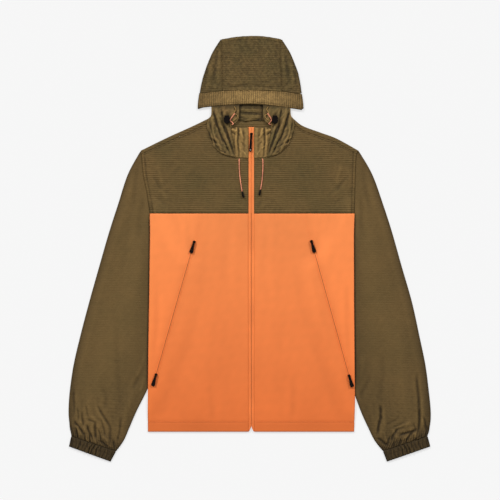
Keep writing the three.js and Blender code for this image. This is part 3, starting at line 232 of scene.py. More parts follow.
# Zips, cords and fittings. A pocket zip is given by its upper and lower end, a cord lock by the
# middle of its body and the upper eye of its cord
POCKET_ZIPS = {"left": (-128.5, 19.7, -226.5, -321.5), "right": (144.5, 21, 241, -324)}
CORD_DIAMETER = 2.6
DRAWCORDS = {
    "left": [(-23.7, 211.5), (-24, 201), (-23.2, 180), (-20.8, 157), (-17, 134.5)],
    "right": [(31, 211.5), (31.7, 201), (31.2, 180), (29.1, 157), (26, 139)],
}
PIPING = [(-35.3, 334), (-31.8, 327), (-35.6, 320.5), (-34, 317), (-27.5, 313), (-30.5, 306),
          (-37, 300.5), (-42.5, 294), (-45, 287)]
CORD_LOCK_X = {"left": -52.8, "right": 60.1}
CORD_EYE_X = {"left": -34, "right": 42.5}
LOWER_EYE_SHIFT = 7
LOCK_HALF_WIDTH = 7
LOCK_CORD_GAP = 0.6
LOCK_CORD_LEVELS = (318, 313, 305, 300, 294, 291.5)
STUD_RADIUS = 0.0019
STUD_THICKNESS = 0.0008
FITTINGS = ("slider", "pull", "tip", "cord_lock")

# The camera looks straight down on the middle of the picture
VIEW_WIDTH = 1.1735
VIEW_CENTRE = (0.0014, -0.0026)
LENS = 85.0
SENSOR = 36.0

# The floor glows a little, as a light table does. A sun has a direction, an elevation, a strength
# and a width, with its angles in degrees
FLOOR_DROP = 0.0002
FLOOR_GREY = 0.3
FLOOR_GLOW = 0.62
WORLD_LIGHT = 0.4
SUNS = {"key_soft": (128, 36, 1.9, 8), "second_soft": (50, 36, 1.4, 8)}


# Curves and heights


def smooth(value, low, high):
    """0 up to low, 1 from high on, and an even slope between them."""
    t = np.clip((value - low) / (high - low), 0, 1)
    return t * t * (3 - 2 * t)


def x_at(table, side, y):
    """Where a seam lies at a level."""
    ordered = sorted(table, key=lambda row: row["y"])
    return np.interp(y, [row["y"] for row in ordered], [row[side] for row in ordered])


def spline(points, steps, spread=0.0):
    """Points along a smooth curve; a spread above 0 draws them towards both ends."""
    p = np.asarray(points, float)
    fine = []
    for i in range(len(p) - 1):
        p0, p1, p2, p3 = p[max(0, i - 1)], p[i], p[i + 1], p[min(len(p) - 1, i + 2)]
        t = np.linspace(0, 1, 40, endpoint=False)[:, None]
        v0, v1 = (p2 - p0) / 2, (p3 - p1) / 2
        fine.append((2 * p1 - 2 * p2 + v0 + v1) * t**3 + (-3 * p1 + 3 * p2 - 2 * v0 - v1) * t**2
                    + v0 * t + p1)
    fine = np.vstack(fine + [p[-1:]])
    length = np.concatenate([[0], np.cumsum(np.linalg.norm(np.diff(fine, axis=0), axis=1))])
    t = np.linspace(0, 1, steps + 1)
    t = (1 - spread) * t + spread * (0.5 - 0.5 * np.cos(np.pi * t))
    return np.column_stack([np.interp(t * length[-1], length, fine[:, k]) for k in range(p.shape[1])])


def run(table, steps, side, spread=0.0):
    """One side's seam as a smooth run of points."""
    return spline([(row[side], row["y"]) for row in table], steps, spread)


def straight(start, end, steps):
    return spline([start, end], steps)


def joined(*runs):
    """Runs set end to end, each one starting where the last ends."""
    return np.vstack([runs[0]] + [part[1:] for part in runs[1:]])


def fold_height(folds, x, y):
    """The height of all folds of a table, each a slightly wavy ridge or trough with soft ends."""
    height = np.zeros_like(x)
    for x0, y0, x1, y1, width, tall in folds:
        dx, dy = x1 - x0, y1 - y0
        length = math.hypot(dx, dy)
        along = ((x - x0) * dx + (y - y0) * dy) / length**2
        aside = ((x - x0) * dy - (y - y0) * dx) / length
        aside = aside + 0.18 * width * np.sin(along * 7 + x0)
        ends = smooth(along, -0.15, 0.25) * (1 - smooth(along, 0.75, 1.15))
        height += tall * ends * np.exp(-((aside / width) ** 2))
    return height


def paired_folds(folds, x, y):
    """Folds that are given for the left and lie the same way, mirrored, on the right."""
    return fold_height(folds, np.where(x > ZIP_CENTRE, 2 * ZIP_CENTRE - x, x), y)


def ripple(x, y, size, seed):
    """A soft uneven surface from waves of many directions, about -1 to 1."""
    count = 14
    draw = np.random.default_rng(seed)
    total = np.zeros_like(x)
    for _ in range(count):
        angle = draw.uniform(0, math.pi)
        wave = 2 * math.pi / (size * draw.uniform(0.6, 1.6))
        phase = draw.uniform(0, 2 * math.pi)
        total += np.sin(wave * (x * math.cos(angle) + y * math.sin(angle)) + phase)
    return total / math.sqrt(count) / 1.6


def lift_over_sleeve(side, x, y, reach):
    """How far a layer of the body is raised by the sleeve tucked under its side."""
    lift = 0
    for shift in (-14, -7, 0, 7, 14):
        level = y + shift
        edge = np.where(level > UNDERARM, x_at(ARMHOLE, side, level), x_at(SLEEVE_INNER, side, level))
        lift = lift + smooth((x - edge) * SIDES[side], -reach, -16) / 5
    return LIFT * lift * smooth(y, -431, -370) * (1 - smooth(y, 88, 138))


def across_front(side, x, y):
    """0 at the zip, 1 at the body's side."""
    edge = np.abs(x_at(BODY_EDGE, side, y) - ZIP_CENTRE)
    return np.minimum(1, np.abs(x - ZIP_CENTRE) / edge)


def front_top(side, x, y):
    """The level of a front: two layers, the sleeve below, a soft swell and folds."""
    puff = FRONT_PUFF * np.sin(np.pi * across_front(side, x, y)) ** 2
    soft = 0.22 * ripple(x, y * 0.45, 60, 3) + 0.1 * ripple(x, y, 24, 4)
    rest = (puff + fold_height(FRONT_FOLDS, x, y) + soft) * smooth(y, -431, -380)
    return TWO_LAYERS + lift_over_sleeve(side, x, y, UPPER_REACH) + rest


def yoke_top(side, x, y):
    """The level of a front yoke, drawn down at the armhole's seam."""
    from_armhole = (x_at(ARMHOLE, side, y) - x) * SIDES[side]
    lift = lift_over_sleeve(side, x, y, UPPER_REACH) * smooth(from_armhole, 0, 14)
    puff = FRONT_PUFF * np.sin(np.pi * across_front(side, x, y)) ** 2 * (1 - smooth(y, 120, 215))
    soft = 0.2 * ripple(x, y, 40, 5) + 0.1 * ripple(x, y, 14, 6)
    return TWO_LAYERS + lift + puff + fold_height(FRONT_FOLDS, x, y) + soft


def sleeve_top(side, x, y):
    """The level of a sleeve: flat under the body, and fuller where it lies free."""
    sign = SIDES[side]
    free = np.where(y > YOKE_SEAM, x_at(ARMHOLE, side, y), x_at(BODY_EDGE, side, y))
    clear = smooth((x - free) * sign, 9, 48)
    inside = smooth((x - x_at(SLEEVE_INNER, side, y)) * sign, 2, 24)
    outside = smooth((x_at(SLEEVE_OUTER, side, y) - x) * sign, 2, 24)
    base = TUCKED_SLEEVE + (TWO_LAYERS - TUCKED_SLEEVE) * smooth(y, 95, 150)
    folds = fold_height(SLEEVE_FOLDS[side], x, y)
    soft = 0.14 * ripple(x, y * 0.6, 46, 7 + sign) + 0.1 * ripple(x, y, 17, 9)
    puff = (SLEEVE_PUFF + soft) * (0.5 + 0.5 * smooth(y, -500, -380))
    near = smooth((x_at(SLEEVE_OUTER, side, y) - x) * sign, 1, 9) * smooth((x - free) * sign, 2, 16)
    near = near * smooth((x - x_at(SLEEVE_INNER, side, y)) * sign, 1, 12)
    fine = 0.3 * ripple(x * 0.7, y, 8, 17) * smooth(-y, 250, 400)
    body = base + clear * inside * outside * puff + near * (folds + fine) * smooth(y, -490, -450)
    return np.maximum(body, LEAST_HEIGHT)


def hood_level(y):
    """The hood's level, which rises from the crown to the brim."""
    return HOOD_TOP + (HOOD_BRIM - HOOD_TOP) * smooth(-y, -492, -372)


def hood_top(x, y):
    soft = 0.2 * ripple(x, y, 30, 11) + 0.46 * ripple(x, y, 10, 12)
    return hood_level(y) + (fold_height(HOOD_FOLDS, x, y) + soft) * smooth(y, 368, 376)


def brim_top(x, y):
    return hood_level(y) + 0.08 * ripple(x, y * 0.3, 12, 13)


def collar_level(y):
    """The collar's level, which rises a little from the neck's seam."""
    return TWO_LAYERS + 0.4 * smooth(y, 216, 300)


def collar_top(x, y):
    """The level of the gathered flaps, pressed flat under the brim and the cord locks."""
    under_brim = 1 - smooth(y, 322, 342)
    rest = (1.8 + 1.35 * paired_folds(COLLAR_FOLDS, x, y) + 0.45 * ripple(x, y, 9, 14)) * under_brim
    middle = np.where(x > ZIP_CENTRE, CORD_LOCK_X["right"], CORD_LOCK_X["left"])
    under_lock = np.exp(-(((x - middle) / 13) ** 4) - ((y - 303) / 11) ** 4)
    return collar_level(y) + np.clip(rest, -0.5, 6) * (1 - under_lock)


def chin_top(x, y):
    rest = 1.0 + 1.3 * paired_folds(CHIN_FOLDS, x, y) + 0.3 * ripple(x, y, 8, 15)
    return collar_level(y) + np.clip(rest, -0.5, 6)


def flat_under(x, y):
    return np.zeros_like(x)


# Walls of cloth


def patch(bottom, top, left, right):
    """A grid of plan points between four runs; the first index goes across, the second up."""
    u = np.linspace(0, 1, len(bottom))[:, None, None]
    v = np.linspace(0, 1, len(left))[None, :, None]
    bottom, top = bottom[:, None, :], top[:, None, :]
    left, right = left[None, :, :], right[None, :, :]
    return ((1 - v) * bottom + v * top + (1 - u) * left + u * right
            - (1 - u) * (1 - v) * bottom[:1] - u * (1 - v) * bottom[-1:]
            - (1 - u) * v * top[:1] - u * v * top[-1:])


def from_edges(grid):
    """Distance of every point of a grid from its bottom, top, left and right edges."""
    up = np.linalg.norm(np.diff(grid, axis=1), axis=2)
    across = np.linalg.norm(np.diff(grid, axis=0), axis=2)
    zero_up, zero_across = np.zeros((grid.shape[0], 1)), np.zeros((1, grid.shape[1]))
    bottom = np.hstack([zero_up, np.cumsum(up, axis=1)])
    left = np.vstack([zero_across, np.cumsum(across, axis=0)])
    return {"bottom": bottom, "top": bottom[:, -1:] - bottom, "left": left, "right": left[-1:] - left}


def groove(grid, edge, distance, depth=0.5, width=1.1):
    """The line that a row of topstitching draws, at a distance from an edge."""
    return -depth * np.exp(-(((from_edges(grid)[edge] - distance) / width) ** 2))


def seam_dip(grid, edges, depth=0.7, width=2.2, pucker=0.0, pitch=9.0, reach=10.0):
    """Draws the cloth down into its seams, with small puckers beside them."""
    away = from_edges(grid)
    dip = np.zeros(grid.shape[:2])
    for edge in edges:
        d = away[edge]
        dip -= depth * np.exp(-((d / width) ** 2))
        if pucker:
            s = away["left"] if edge in ("bottom", "top") else away["bottom"]
            wobble = ripple(grid[..., 0], grid[..., 1], 30, 21) * 2.5
            waves = np.sin(2 * math.pi * s / pitch + wobble)
            dip += pucker * waves * np.exp(-d / reach) * (1 - np.exp(-d / 1.5))
    return dip


def painted_shading(grid, top_at, dip=0.0, reach=4.5):
    """How far the cloth stands above what is round it, used as painted shading: hollows are below 0 and
    painted darker, ridges painted lighter.
    """
    x, y = grid[..., 0], grid[..., 1]
    around = 0
    for step in range(8):
        angle = math.pi * step / 4
        for r in (reach, 2.2 * reach):
            around = around + top_at(x + r * math.cos(angle), y + r * math.sin(angle)) / 16
    return top_at(x, y) - around + 0.7 * dip


def upper(grid, heights, tone=0.0):
    """The outer and inner points of a layer that faces up, each with its painted shading."""
    outer = np.dstack([grid, heights, tone + 0 * heights])
    return outer, outer - [0, 0, SHELL, 0]


def lower(grid, heights):
    """The outer and inner points of a layer that faces down, with no painted shading."""
    outer = np.dstack([grid, heights, 0 * heights])
    return outer, outer + [0, 0, SHELL, 0]


def turn(top, low, before, painted_rim_shade=-1.0):
    """The columns round a folded edge, from the upper layer's last to the lower layer's first; the cloth
    round the fold gets painted shade.
    """
    steps = 8
    along = np.gradient(top[:, :2], axis=0)
    outward = np.column_stack([along[:, 1], -along[:, 0]])
    outward /= np.linalg.norm(outward, axis=1)[:, None]
    facing = np.sum(outward * (top[:, :2] - before[:, :2]), axis=1)
    outward[facing < 0] *= -1
    middle, radius = (top[:, 2] + low[:, 2]) / 2, (top[:, 2] - low[:, 2]) / 2
    pairs = []
    for step in range(1, steps):
        angle = math.pi * step / steps
        both = []
        for r in (radius, radius - SHELL):
            plan = top[:, :2] + outward * (r * math.sin(angle))[:, None]
            # Painted shade round the fold, strongest at its outer edge
            tone = top[:, 3] * (1 - step / steps) + painted_rim_shade * math.sin(angle)
            both.append(np.column_stack([plan, middle + r * math.cos(angle), tone]))
        pairs.append(both)
    return np.array([p[0] for p in pairs]), np.array([p[1] for p in pairs])


def inset(points, distance, inside):
    """A run moved towards a point inside it."""
    along = np.gradient(points, axis=0)
    normal = np.column_stack([-along[:, 1], along[:, 0]])
    normal /= np.linalg.norm(normal, axis=1)[:, None]
    flip = np.sum(normal * (np.asarray(inside) - points), axis=1) < 0
    normal[flip] *= -1
    return points + normal * np.reshape(distance, (-1, 1))


def stacked(*pairs):
    return np.concatenate([p[0] for p in pairs]), np.concatenate([p[1] for p in pairs])


def backwards(pair):
    return pair[0][::-1], pair[1][::-1]


def flat_tube(grid, top_at, dip=0.0, tone=0.0):
    """A tube pressed flat, with a fold along both sides."""
    # The cloth's relief, with the tone given, makes its painted shading
    top = upper(grid, top_at(grid[..., 0], grid[..., 1]) + dip, painted_shading(grid, top_at, dip) + tone)
    low = lower(grid, np.zeros(grid.shape[:2]))
    far = turn(top[0][-1], low[0][-1], grid[-2])
    near = turn(top[0][0], low[0][0], grid[1])
    return stacked(top, far, backwards(low), backwards(near))


def folded_panel(top_grid, low_grid, top_at, low_at, dip=0.0, tone=0.0, painted_rim_shade=-1.0):
    """A panel that turns round one fold and goes on below itself."""
    # The cloth's relief, with the tone given, makes its painted shading
    top = upper(top_grid, top_at(top_grid[..., 0], top_grid[..., 1]) + dip,
                painted_shading(top_grid, top_at, dip) + tone)
    low = lower(low_grid, low_at(low_grid[..., 0], low_grid[..., 1]))
    return stacked(top, turn(top[0][-1], low[0][0], top_grid[-2], painted_rim_shade=painted_rim_shade), low)


def wall_object(name, pair, ring=False):
    """A closed wall mesh from its outer and inner points, with the cloth's own grain as UV, in metres."""
    outer, inner = pair
    across, up = outer.shape[:2]
    points = np.concatenate([outer[..., :3].reshape(-1, 3), inner[..., :3].reshape(-1, 3)]) * MM
    index = np.arange(across * up).reshape(across, up)
    first = index if not ring else np.vstack([index, index[:1]])
    a, b, c, d = first[:-1, :-1], first[1:, :-1], first[1:, 1:], first[:-1, 1:]
    n = across * up
    faces = [np.stack([a, b, c, d], -1).reshape(-1, 4), np.stack([d, c, b, a], -1).reshape(-1, 4) + n]
    open_edges = [(first[:, 0], False), (first[:, -1], True)]
    if not ring:
        open_edges += [(index[0], True), (index[-1], False)]
    rims = []
    for edge, flip in open_edges:
        p, q = (edge[:-1], edge[1:]) if flip else (edge[1:], edge[:-1])
        rims.append(np.stack([p, q, q + n, p + n], -1))
    soft_faces = sum(len(f) for f in faces)
    all_faces = np.concatenate(faces + rims)
    corner = points[all_faces]
    cross = np.cross(corner[:, 1] - corner[:, 0], corner[:, 2] - corner[:, 0])
    cross += np.cross(corner[:, 2] - corner[:, 0], corner[:, 3] - corner[:, 0])
    if np.sum(corner[:, 0] * cross) < 0:
        all_faces = all_faces[:, ::-1]
    mesh = bpy.data.meshes.new(name)
    mesh.from_pydata(points.tolist(), [], all_faces.tolist())
    smooth_flags = np.zeros(len(all_faces), bool)
    smooth_flags[:soft_faces] = True
    mesh.polygons.foreach_set("use_smooth", smooth_flags)
    # Each point's fourth value is its painted shading, kept as a point attribute for the material
    tone = mesh.attributes.new("painted_shading", "FLOAT", "POINT")
    tone.data.foreach_set("value", np.concatenate([outer[..., 3].ravel(), inner[..., 3].ravel()]))
    step_u = np.linalg.norm(np.diff(outer[..., :3], axis=0), axis=2)
    step_v = np.linalg.norm(np.diff(outer[..., :3], axis=1), axis=2)
    u = np.vstack([np.zeros((1, up)), np.cumsum(step_u, axis=0)]) * MM
    v = np.hstack([np.zeros((across, 1)), np.cumsum(step_v, axis=1)]) * MM
    grain = np.stack([u.mean(axis=1)[:, None] + 0 * u, v], -1).reshape(-1, 2)
    grain = np.concatenate([grain, grain])
    uv = mesh.uv_layers.new(name="grain")
    uv.data.foreach_set("uv", grain[all_faces.ravel()].ravel())
    mesh.validate()
    obj = bpy.data.objects.new(name, mesh)
    bpy.context.scene.collection.objects.link(obj)
    return obj


def finish_cloth(name, pair, node, material, ring=False):
    """Makes a piece of cloth of a wall; a piece without node stands for no solid of its own."""
    obj = wall_object(name, pair, ring)
    obj.data.materials.append(material)
    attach(obj, "shell")
    if node:
        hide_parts(node)


# Materials


def linear(colour):
    """A colour as seen, in the light's own scale."""
    return [c / 12.92 if c <= 0.04045 else ((c + 0.055) / 1.055) ** 2.4 for c in colour]


def new_material(name, roughness, sheen=0.0, sheen_tint=(1, 1, 1), specular=0.3):
    material = bpy.data.materials.new(name)
    material.use_nodes = True
    shader = material.node_tree.nodes["Principled BSDF"]
    shader.inputs["Roughness"].default_value = roughness
    shader.inputs["Sheen Weight"].default_value = sheen
    shader.inputs["Sheen Roughness"].default_value = 0.45
    shader.inputs["Sheen Tint"].default_value = (*sheen_tint, 1)
    shader.inputs["Specular IOR Level"].default_value = specular
    return material, material.node_tree, shader


def node(tree, kind, inputs=None, **settings):
    """A shader node with its inputs given by value or by link."""
    made = tree.nodes.new(kind)
    for key, value in settings.items():
        setattr(made, key, value)
    for key, value in (inputs or {}).items():
        if isinstance(value, bpy.types.NodeSocket):
            tree.links.new(value, made.inputs[key])
        else:
            made.inputs[key].default_value = value
    return made


def math_node(tree, operation, first, second=0.0, third=1.0):
    return node(tree, "ShaderNodeMath", {0: first, 1: second, 2: third}, operation=operation).outputs[0]


def ranged(tree, value, low, high, to_low, to_high):
    inputs = {"Value": value, "From Min": low, "From Max": high, "To Min": to_low, "To Max": to_high}
    return node(tree, "ShaderNodeMapRange", inputs).outputs[0]


def times(tree, first, second):
    return math_node(tree, "MULTIPLY", first, second)


def noise(tree, place, scale, detail, roughness=0.5):
    inputs = {"Vector": place, "Scale": scale, "Detail": detail, "Roughness": roughness}
    return node(tree, "ShaderNodeTexNoise", inputs).outputs["Fac"]


def colour_between(tree, share, first, last):
    mix = node(tree, "ShaderNodeMix", {"Factor": share}, data_type="RGBA")
    mix.inputs[6].default_value = (*first, 1)
    mix.inputs[7].default_value = (*last, 1)
    return mix.outputs[2]


def join_surface(tree, shader, colour, height):
    """Gives a shader its colour and a relief in metres."""
    bump = node(tree, "ShaderNodeBump", {"Strength": 1.0, "Distance": 1.0, "Height": height})
    tree.links.new(colour, shader.inputs["Base Color"])
    tree.links.new(bump.outputs[0], shader.inputs["Normal"])


def rib_wave(tree, place, along, pitch):
    """Ribs from -1 to 1 that wander a little and fade in places."""
    wander = times(tree, noise(tree, place, 26.0, 3.0), pitch * 0.8)
    shifted = math_node(tree, "ADD", along, wander)
    wave = math_node(tree, "SINE", times(tree, shifted, 2 * math.pi / pitch))
    return times(tree, wave, ranged(tree, noise(tree, place, 30.0, 4.0, 0.7), 0.35, 0.62, 0.3, 1.0))


def cloth_material(name, base, light=1.06, dark=0.94, green=0.0, rib_pitch=0.0, rib_axis="Y",
                   rib_depth=0.12, rib_shade=0.1, weave=0.0004, roughness=0.72, sheen=0.08, blotch=9.0,
                   crinkle=0.25, tone_gradient=(), painted_light_tint=(), painted_shading_strength=0.3, crumple=0.0):
    """Woven nylon: uneven tone, a fine weave and crinkle and, where asked, raised ribs.

    Tone gradient is an axis, where it starts and ends, and the tone at both. Painted light tint is
    where it starts and ends up the jacket, and the tint at both, the cloth lighter towards the top.
    Painted shading strength is how much the mesh's painted shading darkens the hollows and lightens
    the ridges, and crumple is the strength of its net of fine creases, with painted shade in their
    hollows and painted light on their crests."""
    material, tree, shader = new_material(name, roughness, sheen, linear([c * 1.3 for c in base]), 0.18)
    place = node(tree, "ShaderNodeTexCoord").outputs["Object"]
    axes = node(tree, "ShaderNodeSeparateXYZ", {0: place}).outputs
    hue = (1 - 0.6 * green, 1 + 0.1 * green, 1 - 0.2 * green)
    patches = ranged(tree, noise(tree, place, blotch, 5.0, 0.6), 0.35, 0.65, 0.0, 1.0)
    colour = colour_between(tree, patches, linear([c * dark * h for c, h in zip(base, hue)]),
                            linear([min(1, c * light) for c in base]))
    # Painted light tint: paler towards the top, darker and redder towards the bottom
    if painted_light_tint:
        start, end, first, last = painted_light_tint
        tint = colour_between(tree, ranged(tree, axes["Y"], start, end, 0.0, 1.0), first, last)
        colour = node(tree, "ShaderNodeMix", {"Factor": 1.0, 6: colour, 7: tint}, data_type="RGBA",
                      blend_type="MULTIPLY").outputs[2]
    # The mesh's painted shading: painted shade in hollows, creases and shadows, painted light on ridges
    lift = node(tree, "ShaderNodeAttribute", attribute_name="painted_shading").outputs["Fac"]
    tone = math_node(tree, "MAXIMUM", math_node(tree, "MULTIPLY_ADD", lift, painted_shading_strength), 0.25)
    tone = math_node(tree, "MINIMUM", tone, 1.55)
    if tone_gradient:
        axis, start, end, first, last = tone_gradient
        value = axes[axis]
        if axis == "X":
            value = math_node(tree, "ABSOLUTE", math_node(tree, "SUBTRACT", value, ZIP_CENTRE * MM))
        tone = times(tree, tone, ranged(tree, value, start, end, first, last))
    warp = math_node(tree, "SINE", times(tree, axes["X"], 2 * math.pi / weave))
    weft = math_node(tree, "SINE", times(tree, axes["Y"], 2 * math.pi / weave))
    height = times(tree, times(tree, warp, weft), weave * 0.12)
    grit = noise(tree, place, 120.0, 6.0, 0.65)
    height = math_node(tree, "ADD", height, times(tree, grit, crinkle * MM))
    if crumple:
        lumps = noise(tree, place, 75.0, 3.0)
        crease = math_node(tree, "ABSOLUTE", math_node(tree, "SUBTRACT", lumps, 0.5))
        # Painted shade in the creases' hollows and painted light on their crests
        tone = times(tree, tone, ranged(tree, crease, 0.0, 0.1, 1 + crumple, 1 - crumple))
        height = math_node(tree, "SUBTRACT", height, times(tree, crease, 4 * crumple * MM))
    if rib_pitch:
        rib = rib_wave(tree, place, axes[rib_axis], rib_pitch)
        height = math_node(tree, "ADD", height, times(tree, rib, rib_depth * MM))
        tone = times(tree, tone, ranged(tree, rib, -1.0, 1.0, 1 - rib_shade, 1 + 0.5 * rib_shade))
    shaded = node(tree, "ShaderNodeVectorMath", {0: colour, "Scale": tone}, operation="SCALE")
    join_surface(tree, shader, shaded.outputs[0], height)
    return material


def hard_material(name, colour, roughness, metallic=0.0, specular=0.25):
    """Thread, plastic or metal with a fine grain and slight wear."""
    material, tree, shader = new_material(name, roughness, specular=specular)
    shader.inputs["Metallic"].default_value = metallic
    place = node(tree, "ShaderNodeTexCoord").outputs["Object"]
    worn = noise(tree, place, 160.0, 5.0)
    rough = ranged(tree, worn, 0.0, 1.0, roughness - 0.08, roughness + 0.12)
    tree.links.new(rough, shader.inputs["Roughness"])
    shade = colour_between(tree, worn, [c * 0.8 for c in linear(colour)],
                           [min(1, c * 1.25) for c in linear(colour)])
    join_surface(tree, shader, shade, times(tree, noise(tree, place, 900.0, 4.0), 0.00003))
    return material


MATERIALS = {}


def tinted(colour, red, green, blue):
    return [colour[0] * red, colour[1] * green, colour[2] * blue]


def cloth_finishes():
    """How each cloth is made, from the colours and the rib pitch of the settings."""
    colours = bpy.context.scene.windbreaker_colours
    rib = bpy.context.scene.windbreaker_sizes.rib_pitch
    olive, sand, orange = list(colours.olive), list(colours.sand), list(colours.orange)
    return {
        "yoke": dict(name="olive_ribbed_nylon", base=tinted(olive, 0.985, 0.98, 0.95), green=0.06,
                     rib_pitch=rib, rib_depth=0.35, rib_shade=0.26, crinkle=0.6, crumple=0.07),
        "sleeve": dict(name="olive_sleeve_nylon", base=tinted(olive, 0.965, 0.96, 0.93), light=1.03,
                       dark=0.975, green=0.02, rib_pitch=rib * 0.8, rib_depth=0.1, rib_shade=0.09,
                       blotch=11.0, crinkle=1.1, crumple=0.03),
        "hood": dict(name="olive_hood_nylon", base=tinted(olive, 0.92, 0.925, 0.9), green=0.08,
                     rib_pitch=rib * 0.86, rib_depth=0.28, rib_shade=0.2, crinkle=1.8, painted_shading_strength=0.36,
                     crumple=0.15),
        # The brim is darker towards its ends
        "brim": dict(name="olive_brim_nylon", base=tinted(sand, 1.08, 1.09, 1.13), rib_axis="X",
                     rib_pitch=rib * 0.86, rib_depth=0.5, rib_shade=0.55, crinkle=2.0, painted_shading_strength=0.6,
                     tone_gradient=("X", 0.05, 0.122, 1.12, 0.6), crumple=0.16),
        "cuff": dict(name="olive_cuff_nylon", base=tinted(olive, 0.575, 0.57, 0.52), crinkle=1.4,
                     painted_shading_strength=0.5, crumple=0.1),
        "inside": dict(name="olive_inner_nylon", base=tinted(olive, 1.01, 1.01, 1.01), green=0.08,
                       blotch=30.0, crinkle=1.4, painted_shading_strength=0.6, crumple=0.12),
        "chin": dict(name="sand_nylon", base=sand, rib_axis="X", rib_pitch=rib * 0.7, rib_depth=0.2,
                     rib_shade=0.1, crinkle=1.2, painted_shading_strength=0.55, crumple=0.08),
        # The orange and its zip tape carry a painted light gradient: lighter towards the top, darker
        # towards the hem
        "orange": dict(name="orange_nylon", base=orange, light=1.015, dark=0.985, roughness=0.7,
                       blotch=5.0, crinkle=0.12, tone_gradient=("Y", -0.43, -0.12, 0.862, 0.985),
                       painted_light_tint=(-0.43, 0.083, (1, 0.86, 0.74), (1, 1.1, 1.17))),
        "tape": dict(name="orange_zip_tape", base=list(colours.tape), roughness=0.65, rib_pitch=0.0012,
                     rib_depth=0.06, tone_gradient=("Y", -0.43, -0.12, 0.87, 1.0),
                     painted_light_tint=(-0.43, 0.083, (1, 0.86, 0.74), (1, 1.02, 1.0))),
        "cord": dict(name="coral_braid", base=list(colours.cord), light=1.15, dark=0.85, roughness=0.6,
                     rib_pitch=0.0014, rib_depth=0.12, weave=0.0008, blotch=60.0),
        "piping": dict(name="sand_piping", base=tinted(sand, 1.12, 1.12, 1.12), rib_pitch=0.002,
                       rib_depth=0.1, crinkle=0.2),
    }


def hard_finishes():
    """How the threads, the zip's coil and the fittings are made."""
    colours = bpy.context.scene.windbreaker_colours
    return {
        "olive_thread": dict(name="olive_thread", colour=[c * 0.92 for c in colours.olive],
                             roughness=0.7),
        # The orange thread is a little lighter than the cloth: painted light that offsets the shade on the
        # small stitches
        "orange_thread": dict(name="orange_thread", colour=[min(1, c * 1.05) for c in colours.orange],
                              roughness=0.7),
        "teeth": dict(name="orange_zip_coil", colour=[c * 0.97 for c in colours.tape], roughness=0.6),
        "black": dict(name="black_fitting", colour=(0.05, 0.028, 0.02), roughness=0.4, specular=0.12),
        "bright": dict(name="bright_metal", colour=(0.78, 0.76, 0.72), roughness=0.25, metallic=1.0),
    }


def finish_of(name):
    """One of the jacket's materials, made once."""
    if name not in MATERIALS:
        cloths = cloth_finishes()
        if name in cloths:
            MATERIALS[name] = cloth_material(**cloths[name])
        else:
            MATERIALS[name] = hard_material(**hard_finishes()[name])
    return MATERIALS[name]


# Stitches along a path, by Geometry Nodes


def stitch_tree(name, across):
    """Short rods set along a curve: in line with it as stitches, or across it as zip teeth."""
    tree = bpy.data.node_groups.new(name, "GeometryNodeTree")
    face = tree.interface
    face.new_socket("Geometry", in_out="INPUT", socket_type="NodeSocketGeometry")
    for size, default in (("Stitch Length", 0.0026), ("Stitch Pitch", 0.0034), ("Thread Radius", 0.0003)):
        socket = face.new_socket(size, in_out="INPUT", socket_type="NodeSocketFloat")
        socket.default_value = default
    face.new_socket("Thread", in_out="INPUT", socket_type="NodeSocketMaterial")
    face.new_socket("Geometry", in_out="OUTPUT", socket_type="NodeSocketGeometry")
    given = tree.nodes.new("NodeGroupInput")
    result = tree.nodes.new("NodeGroupOutput")
    points = tree.nodes.new("GeometryNodeResampleCurve")
    points.mode = "LENGTH"
    tree.links.new(given.outputs["Geometry"], points.inputs["Curve"])
    tree.links.new(given.outputs["Stitch Pitch"], points.inputs["Length"])
    tangent = tree.nodes.new("GeometryNodeInputTangent")
    align = tree.nodes.new("FunctionNodeAlignRotationToVector")
    align.axis = "Z"
    tree.links.new(tangent.outputs[0], align.inputs["Vector"])
    thread = tree.nodes.new("GeometryNodeMeshCylinder")
    thread.inputs["Vertices"].default_value = 6
    thread.fill_type = "TRIANGLE_FAN"
    tree.links.new(given.outputs["Thread Radius"], thread.inputs["Radius"])
    tree.links.new(given.outputs["Stitch Length"], thread.inputs["Depth"])
    rod = thread.outputs["Mesh"]
    if across:
        laid = tree.nodes.new("GeometryNodeTransform")
        laid.inputs["Rotation"].default_value = (0, math.pi / 2, 0)
        tree.links.new(rod, laid.inputs["Geometry"])
        rod = laid.outputs[0]
        align.axis = "Y"
    copies = tree.nodes.new("GeometryNodeInstanceOnPoints")
    tree.links.new(points.outputs[0], copies.inputs["Points"])
    tree.links.new(rod, copies.inputs["Instance"])
    tree.links.new(align.outputs[0], copies.inputs["Rotation"])
    real = tree.nodes.new("GeometryNodeRealizeInstances")
    tree.links.new(copies.outputs[0], real.inputs[0])
    paint = tree.nodes.new("GeometryNodeSetMaterial")
    tree.links.new(real.outputs[0], paint.inputs["Geometry"])
    tree.links.new(given.outputs["Thread"], paint.inputs["Material"])
    tree.links.new(paint.outputs[0], result.inputs[0])
    return tree


